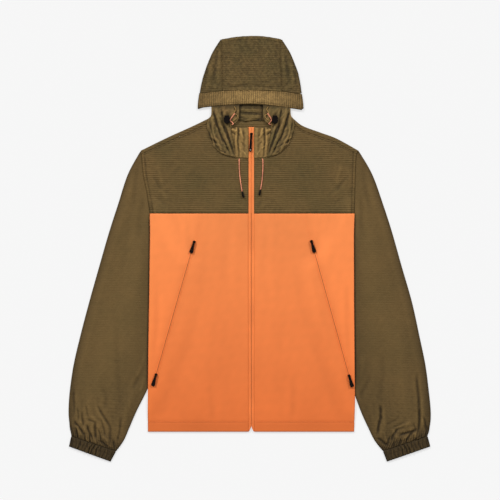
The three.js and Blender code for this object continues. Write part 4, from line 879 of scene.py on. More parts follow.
def stitched(name, paths, material, length=0.0026, pitch=0.0034, radius=0.0003, across=False):
    """Runs stitches along several paths (millimetres) and leaves one plain mesh."""
    curve = bpy.data.curves.new(name, "CURVE")
    curve.dimensions = "3D"
    for path in paths:
        line = curve.splines.new("POLY")
        line.points.add(len(path) - 1)
        line.points.foreach_set("co", np.column_stack([np.asarray(path) * MM, np.ones(len(path))]).ravel())
    source = bpy.data.objects.new(name + "_path", curve)
    bpy.context.scene.collection.objects.link(source)
    kind = "zip_teeth" if across else "stitch_line"
    tree = bpy.data.node_groups.get(kind) or stitch_tree(kind, across)
    modifier = source.modifiers.new("stitches", "NODES")
    modifier.node_group = tree
    values = {"Stitch Length": length, "Stitch Pitch": pitch, "Thread Radius": radius, "Thread": material}
    for item in tree.interface.items_tree:
        if item.in_out == "INPUT" and item.name in values:
            modifier[item.identifier] = values[item.name]
    graph = bpy.context.evaluated_depsgraph_get()
    mesh = bpy.data.meshes.new_from_object(source.evaluated_get(graph), depsgraph=graph)
    bpy.data.objects.remove(source)
    bpy.data.curves.remove(curve)
    if not len(mesh.vertices):
        raise RuntimeError(f"{name} has no stitches")
    obj = bpy.data.objects.new(name, mesh)
    bpy.context.scene.collection.objects.link(obj)
    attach(obj, "shell")


def on_surface(path, height_at, above=0.15):
    """A plan path with its height over a panel."""
    path = np.asarray(path, float)
    return np.column_stack([path, height_at(path[:, 0], path[:, 1]) + above])


# Pieces


def zip_side(side, extra=0.0):
    """Where a front ends beside the zip."""
    return ZIP_CENTRE + SIDES[side] * (ZIP_SHOWS / 2 + extra)


def under_edge(side, y):
    """Where the cloth that turns round the side ends, below the front."""
    sign = SIDES[side]
    limit = x_at(BODY_EDGE, side, y) - sign * 5
    armhole = sign * np.minimum(sign * x_at(ARMHOLE, side, y), sign * limit)
    return np.where(y <= UNDERARM, x_at(SIDE_SEAM, side, y), armhole)


def armhole_front(side, steps=46):
    """The armhole's seam from the shoulder down to the yoke's level."""
    return run(ARMHOLE[:5], steps, side)


def armhole_under(side, steps):
    """The armhole's seam from the yoke's level to the underarm."""
    return run(ARMHOLE[4:], steps, side)


def shoulder_seam(side, steps):
    """The seam in front of the shoulder, where the strip of the back yoke ends."""
    table = [dict(row) for row in SHOULDER]
    for row in table:
        row["y"] -= SHOULDER_WRAP
    table[0], table[-1] = NECK_SIDE[0], ARMHOLE[0]
    return run(table, steps, side)


def make_front(side):
    """A lower front, turned under round the body's side."""
    sign = SIDES[side]
    y = np.concatenate([np.linspace(YOKE_SEAM - 0.1, 70, 8), np.linspace(66, -410, 118),
                        np.linspace(-413, HEM, 8)])
    centre = x_at(BODY_EDGE, side, y) - sign * TWO_LAYERS / 2
    u = np.linspace(0, 1, 62)
    u = (0.8 * u + 0.2 * (0.5 - 0.5 * np.cos(np.pi * u)))[:, None]
    start = zip_side(side)
    top = np.dstack([start + u * (centre[None] - start), np.broadcast_to(y, (len(u), len(y)))])
    w = np.linspace(0, 1, 20)[:, None]
    low = np.dstack([centre[None] + w * (under_edge(side, y)[None] - centre[None]),
                     np.broadcast_to(y, (len(w), len(y)))])
    dip = seam_dip(top, ["left"], 0.05, 1.6, 0.05, 11, 8) + seam_dip(top, ["bottom"], 0.4, 1.6, 0.18, 10, 9)
    away = from_edges(top)["top"]
    dip += 0.3 * smooth(-away, -HEM_TURN, 2 - HEM_TURN) - 0.7 * np.exp(-((away - HEM_TURN) / 1.3) ** 2)
    x0, y0, x1, y1 = POCKET_ZIPS[side]
    pocket_x = x0 + (top[..., 1] - y0) / (y1 - y0) * (x1 - x0)
    beyond = smooth((top[..., 0] - pocket_x) * sign, -4, 26)
    # Painted light beyond the pocket line, faint painted shade between it and the zip, and painted shade on
    # the hem below its stitching
    tone = 0.28 * beyond - 0.05 * (1 - beyond) * smooth(-top[..., 1], -20, 120)
    tone -= 0.55 * smooth(-away, -HEM_TURN, 1.5 - HEM_TURN)
    low_at = partial(lift_over_sleeve, side, reach=LOWER_REACH)
    pair = folded_panel(top, low, partial(front_top, side), low_at, dip, tone, painted_rim_shade=-1.2)
    finish_cloth(f"front_panel_{side}", pair, f"front_{side}", finish_of("orange"))


def make_yoke(side):
    neck = joined(run(NECK_SIDE, 18, side), run(NECK_FRONT, 20, side), run(NECK_TO_ZIP, 10, side))
    top = joined(neck[::-1], shoulder_seam(side, 40))
    edge = armhole_front(side)[::-1]
    corner = (zip_side(side), YOKE_SEAM)
    grid = patch(straight(corner, tuple(edge[0]), len(top) - 1), top,
                 straight(corner, (zip_side(side), NECK_BOTTOM), len(edge) - 1), edge)
    dip = seam_dip(grid, ["left", "top"], 0.25, 1.6, 0.25, 8, 8)
    dip += seam_dip(grid, ["bottom"], 0.5, 1.6, 0.35, 9, 9)
    dip += seam_dip(grid, ["right"], 1.0, 1.4, 0.4, 9, 12) + groove(grid, "right", 7.6, 1.3, 1.5)
    dip += groove(grid, "right", 3.6, -0.8, 1.6)
    dip += groove(grid, "bottom", 9, 0.5) + groove(grid, "top", 4, 0.5)
    at_neck = 1 - smooth(np.abs(grid[..., 0] - ZIP_CENTRE), 94, 112)
    # Painted shading from the yoke's relief, and painted light along its edge at the neck
    tone = painted_shading(grid, partial(yoke_top, side), dip)
    tone += 0.7 * at_neck * np.exp(-((from_edges(grid)["top"] / 2.4) ** 2))
    pair = upper(grid, yoke_top(side, grid[..., 0], grid[..., 1]) + dip, tone)
    finish_cloth(f"front_yoke_panel_{side}", pair, f"yoke_front_{side}",
                 finish_of("yoke"))


def make_back_lower():
    edges = {side: joined(armhole_under(side, 34), run(SIDE_SEAM, 90, side))[::-1] for side in SIDES}
    steps = 90
    grid = patch(straight(edges["left"][0], edges["right"][0], steps),
                 straight(edges["left"][-1], edges["right"][-1], steps), edges["left"], edges["right"])
    beside_zip = np.exp(-(((grid[..., 0] - ZIP_CENTRE) / 22) ** 2))
    grid[..., 1] += HEM_NOTCH * beside_zip * smooth(-grid[..., 1], 380, -HEM)
    pair = lower(grid, np.zeros(grid.shape[:2]))
    finish_cloth("back_panel", pair, "back_lower", finish_of("orange"))


def make_shoulder_wrap(side, shoulder):
    """The strip of the back yoke that wraps forward over a shoulder."""
    seam = shoulder_seam(side, 40)
    t = np.linspace(0, 1, 6)[:, None, None]
    grid = seam[None] * (1 - t) + shoulder[None] * t
    dip = -0.5 * np.exp(-((t[..., 0] * SHOULDER_WRAP) / 2.0) ** 2) * np.ones(grid.shape[:2])
    heights = np.full(grid.shape[:2], TWO_LAYERS) + dip + 0.1 * ripple(grid[..., 0], grid[..., 1], 12, 31)
    # The strip's height above the yoke's level is its painted shading
    top = upper(grid, heights, heights - TWO_LAYERS)
    low = lower(grid[-1:], np.zeros((1, grid.shape[1])))
    pair = stacked(top, turn(top[0][-1], low[0][0], grid[-2]), low)
    finish_cloth(f"shoulder_wrap_{side}", pair, None, finish_of("yoke"))


def make_back_yoke():
    shoulder = {side: inset(run(SHOULDER, 40, side), TWO_LAYERS / 2, (0, 0)) for side in SIDES}
    neck_left, neck_right = (-60, HOOD_BACK), (68, HOOD_BACK)
    neck = joined(straight(shoulder["left"][0], neck_left, 12), straight(neck_left, neck_right, 20),
                  straight(neck_right, shoulder["right"][0], 12))
    top = joined(shoulder["left"][::-1], neck, shoulder["right"])
    left, right = armhole_front("left")[::-1], armhole_front("right")[::-1]
    left = joined(left, straight(left[-1], top[0], 2))
    right = joined(right, straight(right[-1], top[-1], 2))
    grid = patch(straight(left[0], right[0], len(top) - 1), top, left, right)
    pair = lower(grid, np.zeros(grid.shape[:2]))
    finish_cloth("back_yoke_panel", pair, "back_yoke", finish_of("yoke"))
    for side in SIDES:
        make_shoulder_wrap(side, shoulder[side])


def make_sleeve(side):
    """A sleeve pressed flat, with its inner half tucked under the body."""
    steps = 190
    inside = (SIDES[side] * 320, -200)
    crown = joined(run([SHOULDER[4], ARMHOLE[0]], 3, side), armhole_front(side), armhole_under(side, 50))
    outer = inset(run(SLEEVE_OUTER, steps, side, 0.35), TUCKED_SLEEVE / 2, inside)
    inner = inset(run(SLEEVE_INNER, steps, side, 0.35), TUCKED_SLEEVE / 2, inside)
    crown[0], crown[-1] = outer[0], inner[0]
    grid = patch(crown, straight(outer[-1], inner[-1], len(crown) - 1), outer, inner)
    dip = seam_dip(grid, ["bottom"], 0.9, 2.2, 0.35, 10, 14)
    dip += seam_dip(grid, ["top"], 0.5, 2.0, 1.5, 6.1, 16)
    away = from_edges(grid)
    # Painted shade along the sleeve's folded sides and near its end at the cuff, and painted light across
    # its middle
    tone = -0.8 * (np.exp(-((away["left"] / 4) ** 2)) + np.exp(-((away["right"] / 2.6) ** 2)))
    tone -= 0.35 * np.exp(-((away["left"] / 14) ** 2))
    tone -= 1.25 * (1 - smooth(away["top"], 2, 46))
    x, y, sign = grid[..., 0], grid[..., 1], SIDES[side]
    span = away["left"] / (away["left"] + away["right"])
    tone += 0.5 * np.sin(np.pi * np.clip(span * 1.25, 0, 1)) ** 2 - 0.12
    to_cuff, below_yoke = SLEEVE_SHADE[side]
    tone -= to_cuff * smooth(-y, 130, 380)
    tone -= below_yoke * smooth(-y, -120, 60)
    beside = (x - x_at(BODY_EDGE, side, y)) * sign
    shadow = 2.5 * np.exp(-((beside / 3.2) ** 2)) + 0.35 * np.exp(-((beside / 16) ** 2))
    tone -= shadow * (1 - smooth(y, 60, 88)) * (1 - smooth(-y, 300, 335))
    pair = flat_tube(grid, partial(sleeve_top, side), dip, tone)
    finish_cloth(f"sleeve_tube_{side}", pair, f"sleeve_{side}", finish_of("sleeve"),
                 ring=True)


def make_cuff(side):
    """The cuff, whose start is covered by the sleeve's end."""
    outer, inner = ((table[-1][side], table[-1]["y"]) for table in (SLEEVE_OUTER, SLEEVE_INNER))
    outer_end, inner_end = ((row[side], row["y"]) for row in CUFF_END)
    inward = np.subtract(inner, outer) / np.linalg.norm(np.subtract(inner, outer)) * TWO_LAYERS / 2
    square = np.array([-inward[1], inward[0]]) * -SIDES[side] / np.linalg.norm(inward)
    outer, inner = np.add(outer, CUFF_TUCK * square), np.add(inner, CUFF_TUCK * square)
    steps, up = 180, 20
    grid = patch(straight(outer + inward, inner - inward, steps),
                 straight(outer_end + inward, inner_end - inward, steps),
                 straight(outer + inward, outer_end + inward, up),
                 straight(inner - inward, inner_end - inward, up))
    u = np.linspace(0, 1, steps + 1)[:, None]
    v = np.linspace(0, 1, up + 1)[None]
    full = np.sin(np.pi * u) ** 0.3
    uncovered = smooth(v, 0.04, 0.16)
    bend = 0.12 * np.sin(5 * v + 9 * u) + 0.05 * np.sin(40 * u)
    wave = np.cos(2 * np.pi * CUFF_GATHERS * (u + bend * 0.12)) * (0.75 + 0.25 * np.sin(23 * u + 4 * v))
    wave = wave + 0.45 * np.cos(2 * np.pi * FINE_GATHERS * (u + 0.02 * np.sin(6 * v)))
    channel = -0.35 * np.exp(-((v - 0.5) / 0.07) ** 2) - 0.5 * np.exp(-(v / 0.09) ** 2)
    deep = 1.0 + 0.3 * np.sin(11 * u + 2) + 0.3 * np.sin(31 * u + 1)
    heights = TWO_LAYERS + full * (CUFF_HEIGHT - TWO_LAYERS + 0.3 + 1.1 * deep * wave + channel)
    heights = LEAST_HEIGHT + (heights - LEAST_HEIGHT) * uncovered
    # Painted shade where the sleeve's end covers the cuff and at its lower edge; the gathers are painted
    # lighter on their crests and darker between them
    tone = np.where(v < 0.16, -0.4, (heights - CUFF_HEIGHT) * 0.85) - 1.2 * smooth(v, 0.88, 1.0)
    top = upper(grid, heights, tone)
    under_gathers = 0.25 * (1 + np.cos(2 * np.pi * CUFF_GATHERS * u)) * full * np.ones_like(v)
    low = lower(grid, 0.7 * (1 - uncovered) + under_gathers)
    far, near = turn(top[0][-1], low[0][-1], grid[-2]), turn(top[0][0], low[0][0], grid[1])
    pair = stacked(top, far, backwards(low), backwards(near))
    finish_cloth(f"cuff_band_{side}", pair, f"cuff_{side}", finish_of("cuff"), ring=True)


def make_hood_centre():
    """The hood's middle panel, over the crown and down inside to the neck."""
    steps = 66
    fold = inset(spline(HOOD_TOP_LINE, steps), HOOD_TOP / 2, (4, 420))
    brim = spline(BRIM_SEAM[1:4], steps)
    left, right = run(CROWN_SEAM, 58, "left"), run(CROWN_SEAM, 58, "right")
    left[0], right[0] = fold[0], fold[-1]
    top = patch(left[::-1], right[::-1], brim, fold)
    low_left, low_right = run(CROWN_UNDER, 60, "left"), run(CROWN_UNDER, 60, "right")
    low_left[0], low_right[0] = fold[0], fold[-1]
    low = patch(low_left, low_right, fold, straight(low_left[-1], low_right[-1], steps))
    dip = seam_dip(top, ["bottom", "top"], 0.3, 2.0, 0.3, 7, 9)
    dip += seam_dip(top, ["left", "right"], 0.4, 1.3, 0.12, 8, 6)
    dip += groove(top, "left", 3.0, -1.2, 1.5) + groove(top, "right", 3.0, -1.2, 1.5)
    # Painted shading from the crown's relief
    top_pair = upper(top, hood_top(top[..., 0], top[..., 1]) + dip, painted_shading(top, hood_top, dip))
    low_x, low_y = low[..., 0], low[..., 1]
    folds = fold_height(INNER_HOOD_FOLDS, low_x, low_y) + 0.3 * ripple(low_x, low_y, 9, 41)
    rise = np.maximum(0, folds + 0.5) * smooth(-low_y, -340, -330)
    # Painted shade inside the hood: all over, under the brim, low down at the neck and beside the flaps'
    # edges; its inner folds are painted lighter on their ridges and darker in their hollows
    shaded = -0.3 - 1.0 * smooth(low_y, 324, 336) - 0.8 * smooth(-low_y, -298, -290)
    shaded -= 1.1 * (np.exp(-(((low_x + 22) / 4) ** 2)) + np.exp(-(((low_x - 30) / 4) ** 2)))
    low_outer = np.dstack([low, 0 * low_x, 1.5 * folds + shaded])
    low_pair = (low_outer, low_outer + np.dstack([np.zeros(low.shape), SHELL + rise, 0 * low_x]))
    pair = stacked(top_pair, turn(top_pair[0][-1], low_outer[0], top[-2]), low_pair)
    finish_cloth("hood_centre_panel", pair, "hood_centre", finish_of("hood"))


def make_hood_side(side):
    """A side panel of the hood, folded round the hood's outline."""
    steps = 50
    outline = run(HOOD_OUTLINE, steps, side)
    fold = inset(outline, hood_top(outline[:, 0], outline[:, 1]) / 2, (4, 400))
    crown = run(CROWN_SEAM, steps, side)
    fold[0] = crown[0] + [SIDES[side] * 1.4, -0.3]
    seam = BRIM_SEAM[:2][::-1] if side == "left" else BRIM_SEAM[3:]
    brim = spline(seam, 20)
    brim[-1] = fold[-1]
    top = patch(straight(crown[0], fold[0], 20), brim, crown, fold)
    under = run(CROWN_UNDER, steps, side)
    hem = run(HOOD_UNDER_HEM, 24, side)
    hem[0] = fold[-1]
    low = patch(straight(fold[0], under[0], 24), hem, fold, under)
    dip = seam_dip(top, ["left"], 0.4, 1.3, 0.12, 8, 7) + seam_dip(top, ["bottom"], 0.3, 1.8, 0.3, 7, 9)
    # Painted shade along the hood's folded outline
    tone = -0.9 * np.exp(-((from_edges(top)["right"] / 3.0) ** 2))
    pair = folded_panel(top, low, hood_top, flat_under, dip, tone)
    finish_cloth(f"hood_side_panel_{side}", pair, f"hood_side_{side}", finish_of("hood"))


def make_hood_brim():
    """The brim's band, with its ends tucked under."""
    steps, up = 120, 14
    radius, tuck = HOOD_BRIM / 2, 11
    left = run(BRIM_EDGE, up, "left") + [radius, 0]
    right = run(BRIM_EDGE, up, "right") - [radius, 0]
    seam, edge = spline(BRIM_SEAM, steps) + [0, 0.8], spline(BRIM_LOWER, steps)
    left[0, 1], right[0, 1] = seam[0, 1], seam[-1, 1]
    for line, row in ((seam, 0), (edge, -1)):
        line[:, 0] = np.interp(line[:, 0], line[[0, -1], 0], [left[row][0], right[row][0]])
        line[0], line[-1] = left[row], right[row]
    grid = patch(seam, edge, left, right)
    dip = seam_dip(grid, ["bottom"], 0.25, 1.6, 0.25, 6, 7)
    away = from_edges(grid)["top"]
    dip += -0.45 * np.exp(-((away - 5.5) / 1.2) ** 2) - 1.4 * np.exp(-((away / 1.3) ** 2))
    # Painted shading from the brim's relief
    top = upper(grid, brim_top(grid[..., 0], grid[..., 1]) + dip, painted_shading(grid, brim_top, dip))
    ends = []
    for column, sign, before in ((0, -1, 1), (-1, 1, -2)):
        t = np.linspace(0, 1, 6)[:, None]
        x = grid[column][:, 0][None] - sign * t * tuck
        row = np.arange(up + 1)[None]
        y = grid[column][:, 1][None] - 7 * (t > 0) * np.clip(1 - row / 5, 0, 1)
        y = y + 3.4 * t * np.clip((row - up + 5) / 5, 0, 1)
        low = lower(np.dstack([x, y]), np.zeros(x.shape))
        ends.append((low, turn(top[0][column], low[0][0], grid[before])))
    (low_left, fold_left), (low_right, fold_right) = ends
    pair = stacked(backwards(low_left), backwards(fold_left), top, fold_right, low_right)
    finish_cloth("hood_brim_band", pair, "hood_brim", finish_of("brim"))


def make_flap(side):
    """A gathered flap from the neck's seam up to the brim."""
    left = joined(run(NECK_SIDE, 16, side)[::-1], run(FLAP_SIDE[3:], 34, side))
    right = joined(run(CHIN_SEAM, 20, side), run(FLAP_OPENING, 30, side))
    grid = patch(run(NECK_FRONT, 44, side), straight(left[-1], right[-1], 44), left, right)
    dip = seam_dip(grid, ["bottom"], 0.12, 1.6, 0.2, 6, 7) + seam_dip(grid, ["left"], 0.15, 1.6, 0.1, 7, 6)
    away = from_edges(grid)
    # Painted shading from the flap's relief, painted shadow under the brim, and painted light along its
    # seams at the neck and the side
    tone = painted_shading(grid, collar_top, dip, 3) - 0.9 * smooth(grid[..., 1], 324, 338)
    tone += 0.7 * np.exp(-((np.minimum(away["bottom"], away["left"]) / 2.6) ** 2))
    pair = upper(grid, collar_top(grid[..., 0], grid[..., 1]) + dip, tone)
    finish_cloth(f"hood_front_flap_{side}", pair, f"hood_flap_{side}", finish_of("inside"))


def make_chin(side):
    grid = patch(run(NECK_TO_ZIP, 24, side), run(CHIN_TOP, 24, side), run(CHIN_SEAM, 44, side),
                 straight((zip_side(side), NECK_BOTTOM), (zip_side(side), ZIP_TOP), 44))
    dip = seam_dip(grid, ["bottom", "left"], 0.5, 1.6, 0.12, 6, 6)
    dip += seam_dip(grid, ["right", "top"], 0.4, 1.4)
    # Painted shading from the chin panel's relief
    pair = upper(grid, chin_top(grid[..., 0], grid[..., 1]) + dip, painted_shading(grid, chin_top, dip, 3))
    finish_cloth(f"chin_panel_{side}", pair, f"chin_{side}", finish_of("chin"))


def zip_height(side, x, y):
    """The level of the cloth on both sides of the main zip."""
    base = np.where(y > YOKE_SEAM, yoke_top(side, x, y), front_top(side, x, y))
    return np.where(y > 212, collar_level(y), base)


def make_zip_tape(side):
    """One tape, from its edge under the front to the teeth at the centre line."""
    offsets = np.array([ZIP_WIDTH / 2, 7.2, 6.42, 6.36, 5.9, 4.6, 3.6, 3.0, 2.2, 1.5, 0.9, 0.55, 0.12])
    rise = np.array([-1.1, -1.05, -0.95, -0.3, -0.04, 0, 0, 0.1, 0.2, 0.25, 0.2, 0.05, -0.35])
    # Painted light beside the fronts' edges and painted shade at the centre line between the tapes, fainter
    # above the yoke's seam
    tone = np.array([0, 0, 0.3, 0.3, 0.2, 0.1, 0, 0.1, 0.1, 0.1, 0, -0.9, -1.7])
    notch = HEM + 0.6 + HEM_NOTCH * np.maximum(0, 1 - offsets / 5)
    t = np.linspace(0, 1, 240)[None]
    y = notch[:, None] + (ZIP_TOP - notch[:, None]) * t
    x = ZIP_CENTRE + SIDES[side] * offsets[:, None] + 0 * y
    grid = np.dstack([x, y])
    closed = 1 - smooth(y, YOKE_SEAM - 2, YOKE_SEAM + 4)
    inner_rise = np.where(offsets[:, None] < 1, rise[:, None] * closed, rise[:, None])
    pair = upper(grid, zip_height(side, x, y) + inner_rise, tone[:, None] * (0.25 + 0.75 * closed))
    finish_cloth(f"zip_tape_woven_{side}", pair, f"zip_tape_{side}", finish_of("tape"))


def pocket_line(side):
    """The ends of a pocket zip, its direction and the one square to it."""
    x0, y0, x1, y1 = POCKET_ZIPS[side]
    along = np.array([x1 - x0, y1 - y0]) / math.hypot(x1 - x0, y1 - y0)
    return np.array([x0, y0]), np.array([x1, y1]), along, np.array([-along[1], along[0]])


def make_pocket_zip(side):
    start, end, _, square = pocket_line(side)
    centre = straight(start, end, 150)
    offsets = np.array([-2.5, -2.2, -1.6, -0.8, -0.5, 0, 0.5, 0.8, 1.6, 2.2, 2.5])
    rise = np.array([0.1, 0.45, 0.65, 0.6, 0.25, 0.1, 0.25, 0.6, 0.65, 0.45, 0.1])
    grid = centre[None] + offsets[:, None, None] * square
    base = front_top(side, grid[..., 0], grid[..., 1]) + 0.35
    # Painted light on the zip's lips and painted shade in the gap between them
    tone = np.array([0, 0.1, 0.3, 0.1, -1.8, -2.4, -1.8, 0.1, 0.3, 0.1, 0])[:, None]
    outer = np.dstack([grid, base + rise[:, None], tone + 0 * base])
    inner = np.dstack([grid, base - 0.15, 0 * base])
    finish_cloth(f"pocket_zip_line_{side}", (outer, inner), f"pocket_zip_{side}",
                 finish_of("orange"))


def make_zip_teeth():
    """The coil of the closed main zip."""
    y = np.linspace(HEM + HEM_NOTCH + 2, ZIP_TOP - 20, 200)
    paths = []
    for side, sign in SIDES.items():
        x = np.full_like(y, ZIP_CENTRE + sign * 1.7)
        paths.append(np.column_stack([x, y, zip_height(side, x, y) + 0.05]))
    stitched("zip_coil", paths, finish_of("teeth"), 0.002, 0.0016, 0.0004, across=True)


def tube(name, points, diameter, material, steps=30, sides=12):
    """A closed round tube along a smooth path in millimetres, and that path."""
    path = spline(points, steps)
    tangent = np.gradient(path, axis=0)
    tangent /= np.linalg.norm(tangent, axis=1)[:, None]
    side = np.cross(tangent, [0, 0, 1])
    side /= np.linalg.norm(side, axis=1)[:, None]
    rise = np.cross(side, tangent)
    angle = np.linspace(0, 2 * math.pi, sides, endpoint=False)
    sideways, upwards = np.cos(angle)[None, :, None], np.sin(angle)[None, :, None]
    rings = path[:, None] + diameter / 2 * (sideways * side[:, None] + upwards * rise[:, None])
    corners = np.concatenate([rings.reshape(-1, 3), path[:1], path[-1:]]) * MM
    n, faces = len(path), []
    for i in range(n - 1):
        for k in range(sides):
            j = (k + 1) % sides
            faces.append((i * sides + k, i * sides + j, (i + 1) * sides + j, (i + 1) * sides + k))
    for k in range(sides):
        j = (k + 1) % sides
        faces.append((n * sides, j, k))
        faces.append((n * sides + 1, (n - 1) * sides + k, (n - 1) * sides + j))
    mesh = bpy.data.meshes.new(name)
    mesh.from_pydata(corners.tolist(), [], faces)
    work = bmesh.new()
    work.from_mesh(mesh)
    bmesh.ops.recalc_face_normals(work, faces=work.faces)
    work.to_mesh(mesh)
    work.free()
    mesh.polygons.foreach_set("use_smooth", [True] * len(mesh.polygons))
    obj = bpy.data.objects.new(name, mesh)
    obj.data.materials.append(material)
    bpy.context.scene.collection.objects.link(obj)
    return obj, path


def make_edge_piping(side):
    """The fine rolled edge inside the hood's opening."""
    plan = [(x if side == "left" else 2 * ZIP_CENTRE - x, y) for x, y in PIPING]
    points = on_surface(spline(plan, 60), collar_top, 0.6)
    obj, _ = tube(f"hood_edge_piping_{side}", points, 2.0, finish_of("piping"), 60, 8)
    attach(obj, "shell")


def make_drawcord(side):
    """A drawcord from the collar's seam to its tip."""
    low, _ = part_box(f"drawcord_{side}")
    base = low[2] / MM + CORD_DIAMETER / 2
    points = [(x, y, base) for x, y in DRAWCORDS[side]]
    obj, path = tube(f"drawcord_braid_{side}", points, CORD_DIAMETER, finish_of("cord"))
    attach(obj, "shell")
    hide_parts(f"drawcord_{side}")


def make_lock_cord(side):
    """The cord at a lock, from its upper eye round the lock's inner side to its lower eye."""
    sign = SIDES[side]
    low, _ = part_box(f"lock_cord_{side}")
    z = low[2] / MM + CORD_DIAMETER / 2
    eye = CORD_EYE_X[side]
    near = CORD_LOCK_X[side] - sign * (LOCK_HALF_WIDTH + LOCK_CORD_GAP + CORD_DIAMETER / 2)
    middle = (eye + near) / 2 - sign
    across = (eye, middle, near, near, middle, eye + sign * LOWER_EYE_SHIFT)
    points = [(x, y, z) for x, y in zip(across, LOCK_CORD_LEVELS)]
    obj, _ = tube(f"lock_cord_braid_{side}", points, CORD_DIAMETER, finish_of("cord"))
    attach(obj, "shell")
    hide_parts(f"lock_cord_{side}")


def dress_fittings():
    """Gives the hard pieces their black finish."""
    for name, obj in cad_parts.items():
        if any(part in name for part in FITTINGS):
            obj.data.materials.clear()
            obj.data.materials.append(finish_of("black"))


def make_pull_stud():
    """The bright stud at the tail of the main pull."""
    low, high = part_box("zip_main_pull")
    centre = Vector((0.0025, low[1] + 0.0042, high[2] - 0.0001))
    work = bmesh.new()
    bmesh.ops.create_cone(work, cap_ends=True, segments=24, radius1=STUD_RADIUS, radius2=STUD_RADIUS * 0.8,
                          depth=STUD_THICKNESS, matrix=Matrix.Translation(centre))
    mesh = bpy.data.meshes.new("main_pull_stud")
    work.to_mesh(mesh)
    work.free()
    obj = bpy.data.objects.new("main_pull_stud", mesh)
    obj.data.materials.append(finish_of("bright"))
    bpy.context.scene.collection.objects.link(obj)
    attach(obj, "main_pull")


def seam_paths():
    """Paths of the sewing on the cloth that they lie on: olive thread, then orange."""
    olive, orange = [], []
    for side, sign in SIDES.items():
        yoke, front = partial(yoke_top, side), partial(front_top, side)
        armhole = armhole_front(side, 60)
        for gap in (3.0, 7.5):
            olive.append(on_surface(armhole[3:-3] - [sign * gap, 0], yoke))
        olive.append(on_surface(shoulder_seam(side, 60)[2:-2] - [0, 2.5], yoke))
        neck = joined(run(NECK_SIDE, 20, side), run(NECK_FRONT, 30, side), run(NECK_TO_ZIP, 14, side))
        olive.append(on_surface(inset(neck, -2.6, (ZIP_CENTRE, 330))[2:-1], yoke))
        zip_x = zip_side(side, 2.6)
        olive.append(on_surface(straight((zip_x, YOKE_SEAM + 2), (zip_x, 209), 60), yoke))
        edge_x = x_at(ARMHOLE, side, YOKE_SEAM + 3) - sign * 3
        olive.append(on_surface(straight((zip_x, YOKE_SEAM + 3), (edge_x, YOKE_SEAM + 3), 60), yoke))
        orange.append(on_surface(straight((zip_x, HEM + 2), (zip_x, YOKE_SEAM - 2), 140), front, 0.05))
        hem_x = x_at(BODY_EDGE, side, HEM + 22) - sign * 3
        orange.append(on_surface(straight((zip_x, HEM + 23), (hem_x, HEM + 23), 70), front))
        crown = run(CROWN_SEAM, 40, side)
        for gap in (-2.6, 2.6):
            olive.append(on_surface((crown + [gap, 0])[2:-1], hood_top))
        pocket_start, pocket_end, along, square = pocket_line(side)
        start, end = pocket_start - along * 3, pocket_end + along * 4
        for gap in (-5.2, 5.2):
            orange.append(on_surface(straight(start + square * gap, end + square * gap, 90), front))
        above_pocket = pocket_start - along * 6
        orange.append(on_surface(straight(above_pocket, above_pocket - along * 48, 20), front))
    seam = spline(BRIM_SEAM, 80)
    olive.append(on_surface((seam + [0, 2.6])[3:-3], hood_top))
    olive.append(on_surface((seam - [0, 2.6])[3:-3], brim_top))
    brim_edge = spline(BRIM_LOWER, 80) + [0, 5.5]
    olive.append(on_surface(brim_edge[3:-3], lambda x, y: brim_top(x, y) - 0.4))
    return olive, orange


def make_sewing():
    olive, orange = seam_paths()
    pitch = bpy.context.scene.windbreaker_sizes.stitch_pitch
    stitched("olive_sewing", olive, finish_of("olive_thread"), pitch=pitch)
    stitched("orange_sewing", orange, finish_of("orange_thread"), pitch=pitch,
             radius=0.00022)


# Stage


def make_sun(name, azimuth, elevation, strength, width):
    data = bpy.data.lights.new(name, "SUN")
    data.energy, data.angle = strength, math.radians(width)
    light = bpy.data.objects.new(name, data)
    azimuth, elevation = math.radians(azimuth), math.radians(elevation)
    level = math.cos(elevation)
    source = Vector((math.cos(azimuth) * level, math.sin(azimuth) * level, math.sin(elevation)))
    light.location = source * 3
    light.rotation_mode = "QUATERNION"
    light.rotation_quaternion = source.to_track_quat("Z", "Y")
    bpy.context.scene.collection.objects.link(light)


def make_floor(half):
    corners = [(x * half, y * half, -FLOOR_DROP) for x, y in ((-1, -1), (1, -1), (1, 1), (-1, 1))]
    mesh = bpy.data.meshes.new("pale_floor")
    mesh.from_pydata(corners, [], [(0, 1, 2, 3)])
    material, _, shader = new_material("pale_light_table", 0.9, specular=0.0)
    shader.inputs["Base Color"].default_value = (FLOOR_GREY, FLOOR_GREY, FLOOR_GREY, 1)
    shader.inputs["Emission Color"].default_value = (1, 1, 1, 1)
    shader.inputs["Emission Strength"].default_value = FLOOR_GLOW
    floor = bpy.data.objects.new("pale_floor", mesh)
    floor.data.materials.append(material)
    bpy.context.scene.collection.objects.link(floor)


def make_camera():
    """A camera straight above the middle of the picture, as wide as the picture."""
    camera = bpy.data.cameras.new("camera")
    camera.lens, camera.sensor_width = LENS, SENSOR
    eye = bpy.data.objects.new("camera", camera)
    eye.location = (*VIEW_CENTRE, VIEW_WIDTH / 2 / (SENSOR / 2 / LENS) + 0.005)
    bpy.context.scene.collection.objects.link(eye)
    bpy.context.scene.camera = eye


def make_stage():
    scene = bpy.context.scene
    make_camera()
    make_floor(scene.windbreaker_sizes.floor_size / 2)
    for name, light in SUNS.items():
        make_sun(name, *light)
    world = scene.world or bpy.data.worlds.new("soft_world")
    scene.world = world
    world.use_nodes = True
    background = world.node_tree.nodes["Background"]
    background.inputs[0].default_value = (1, 1, 1, 1)
    background.inputs[1].default_value = WORLD_LIGHT
    scene.view_settings.view_transform = "Standard"


# Settings, operators and panel


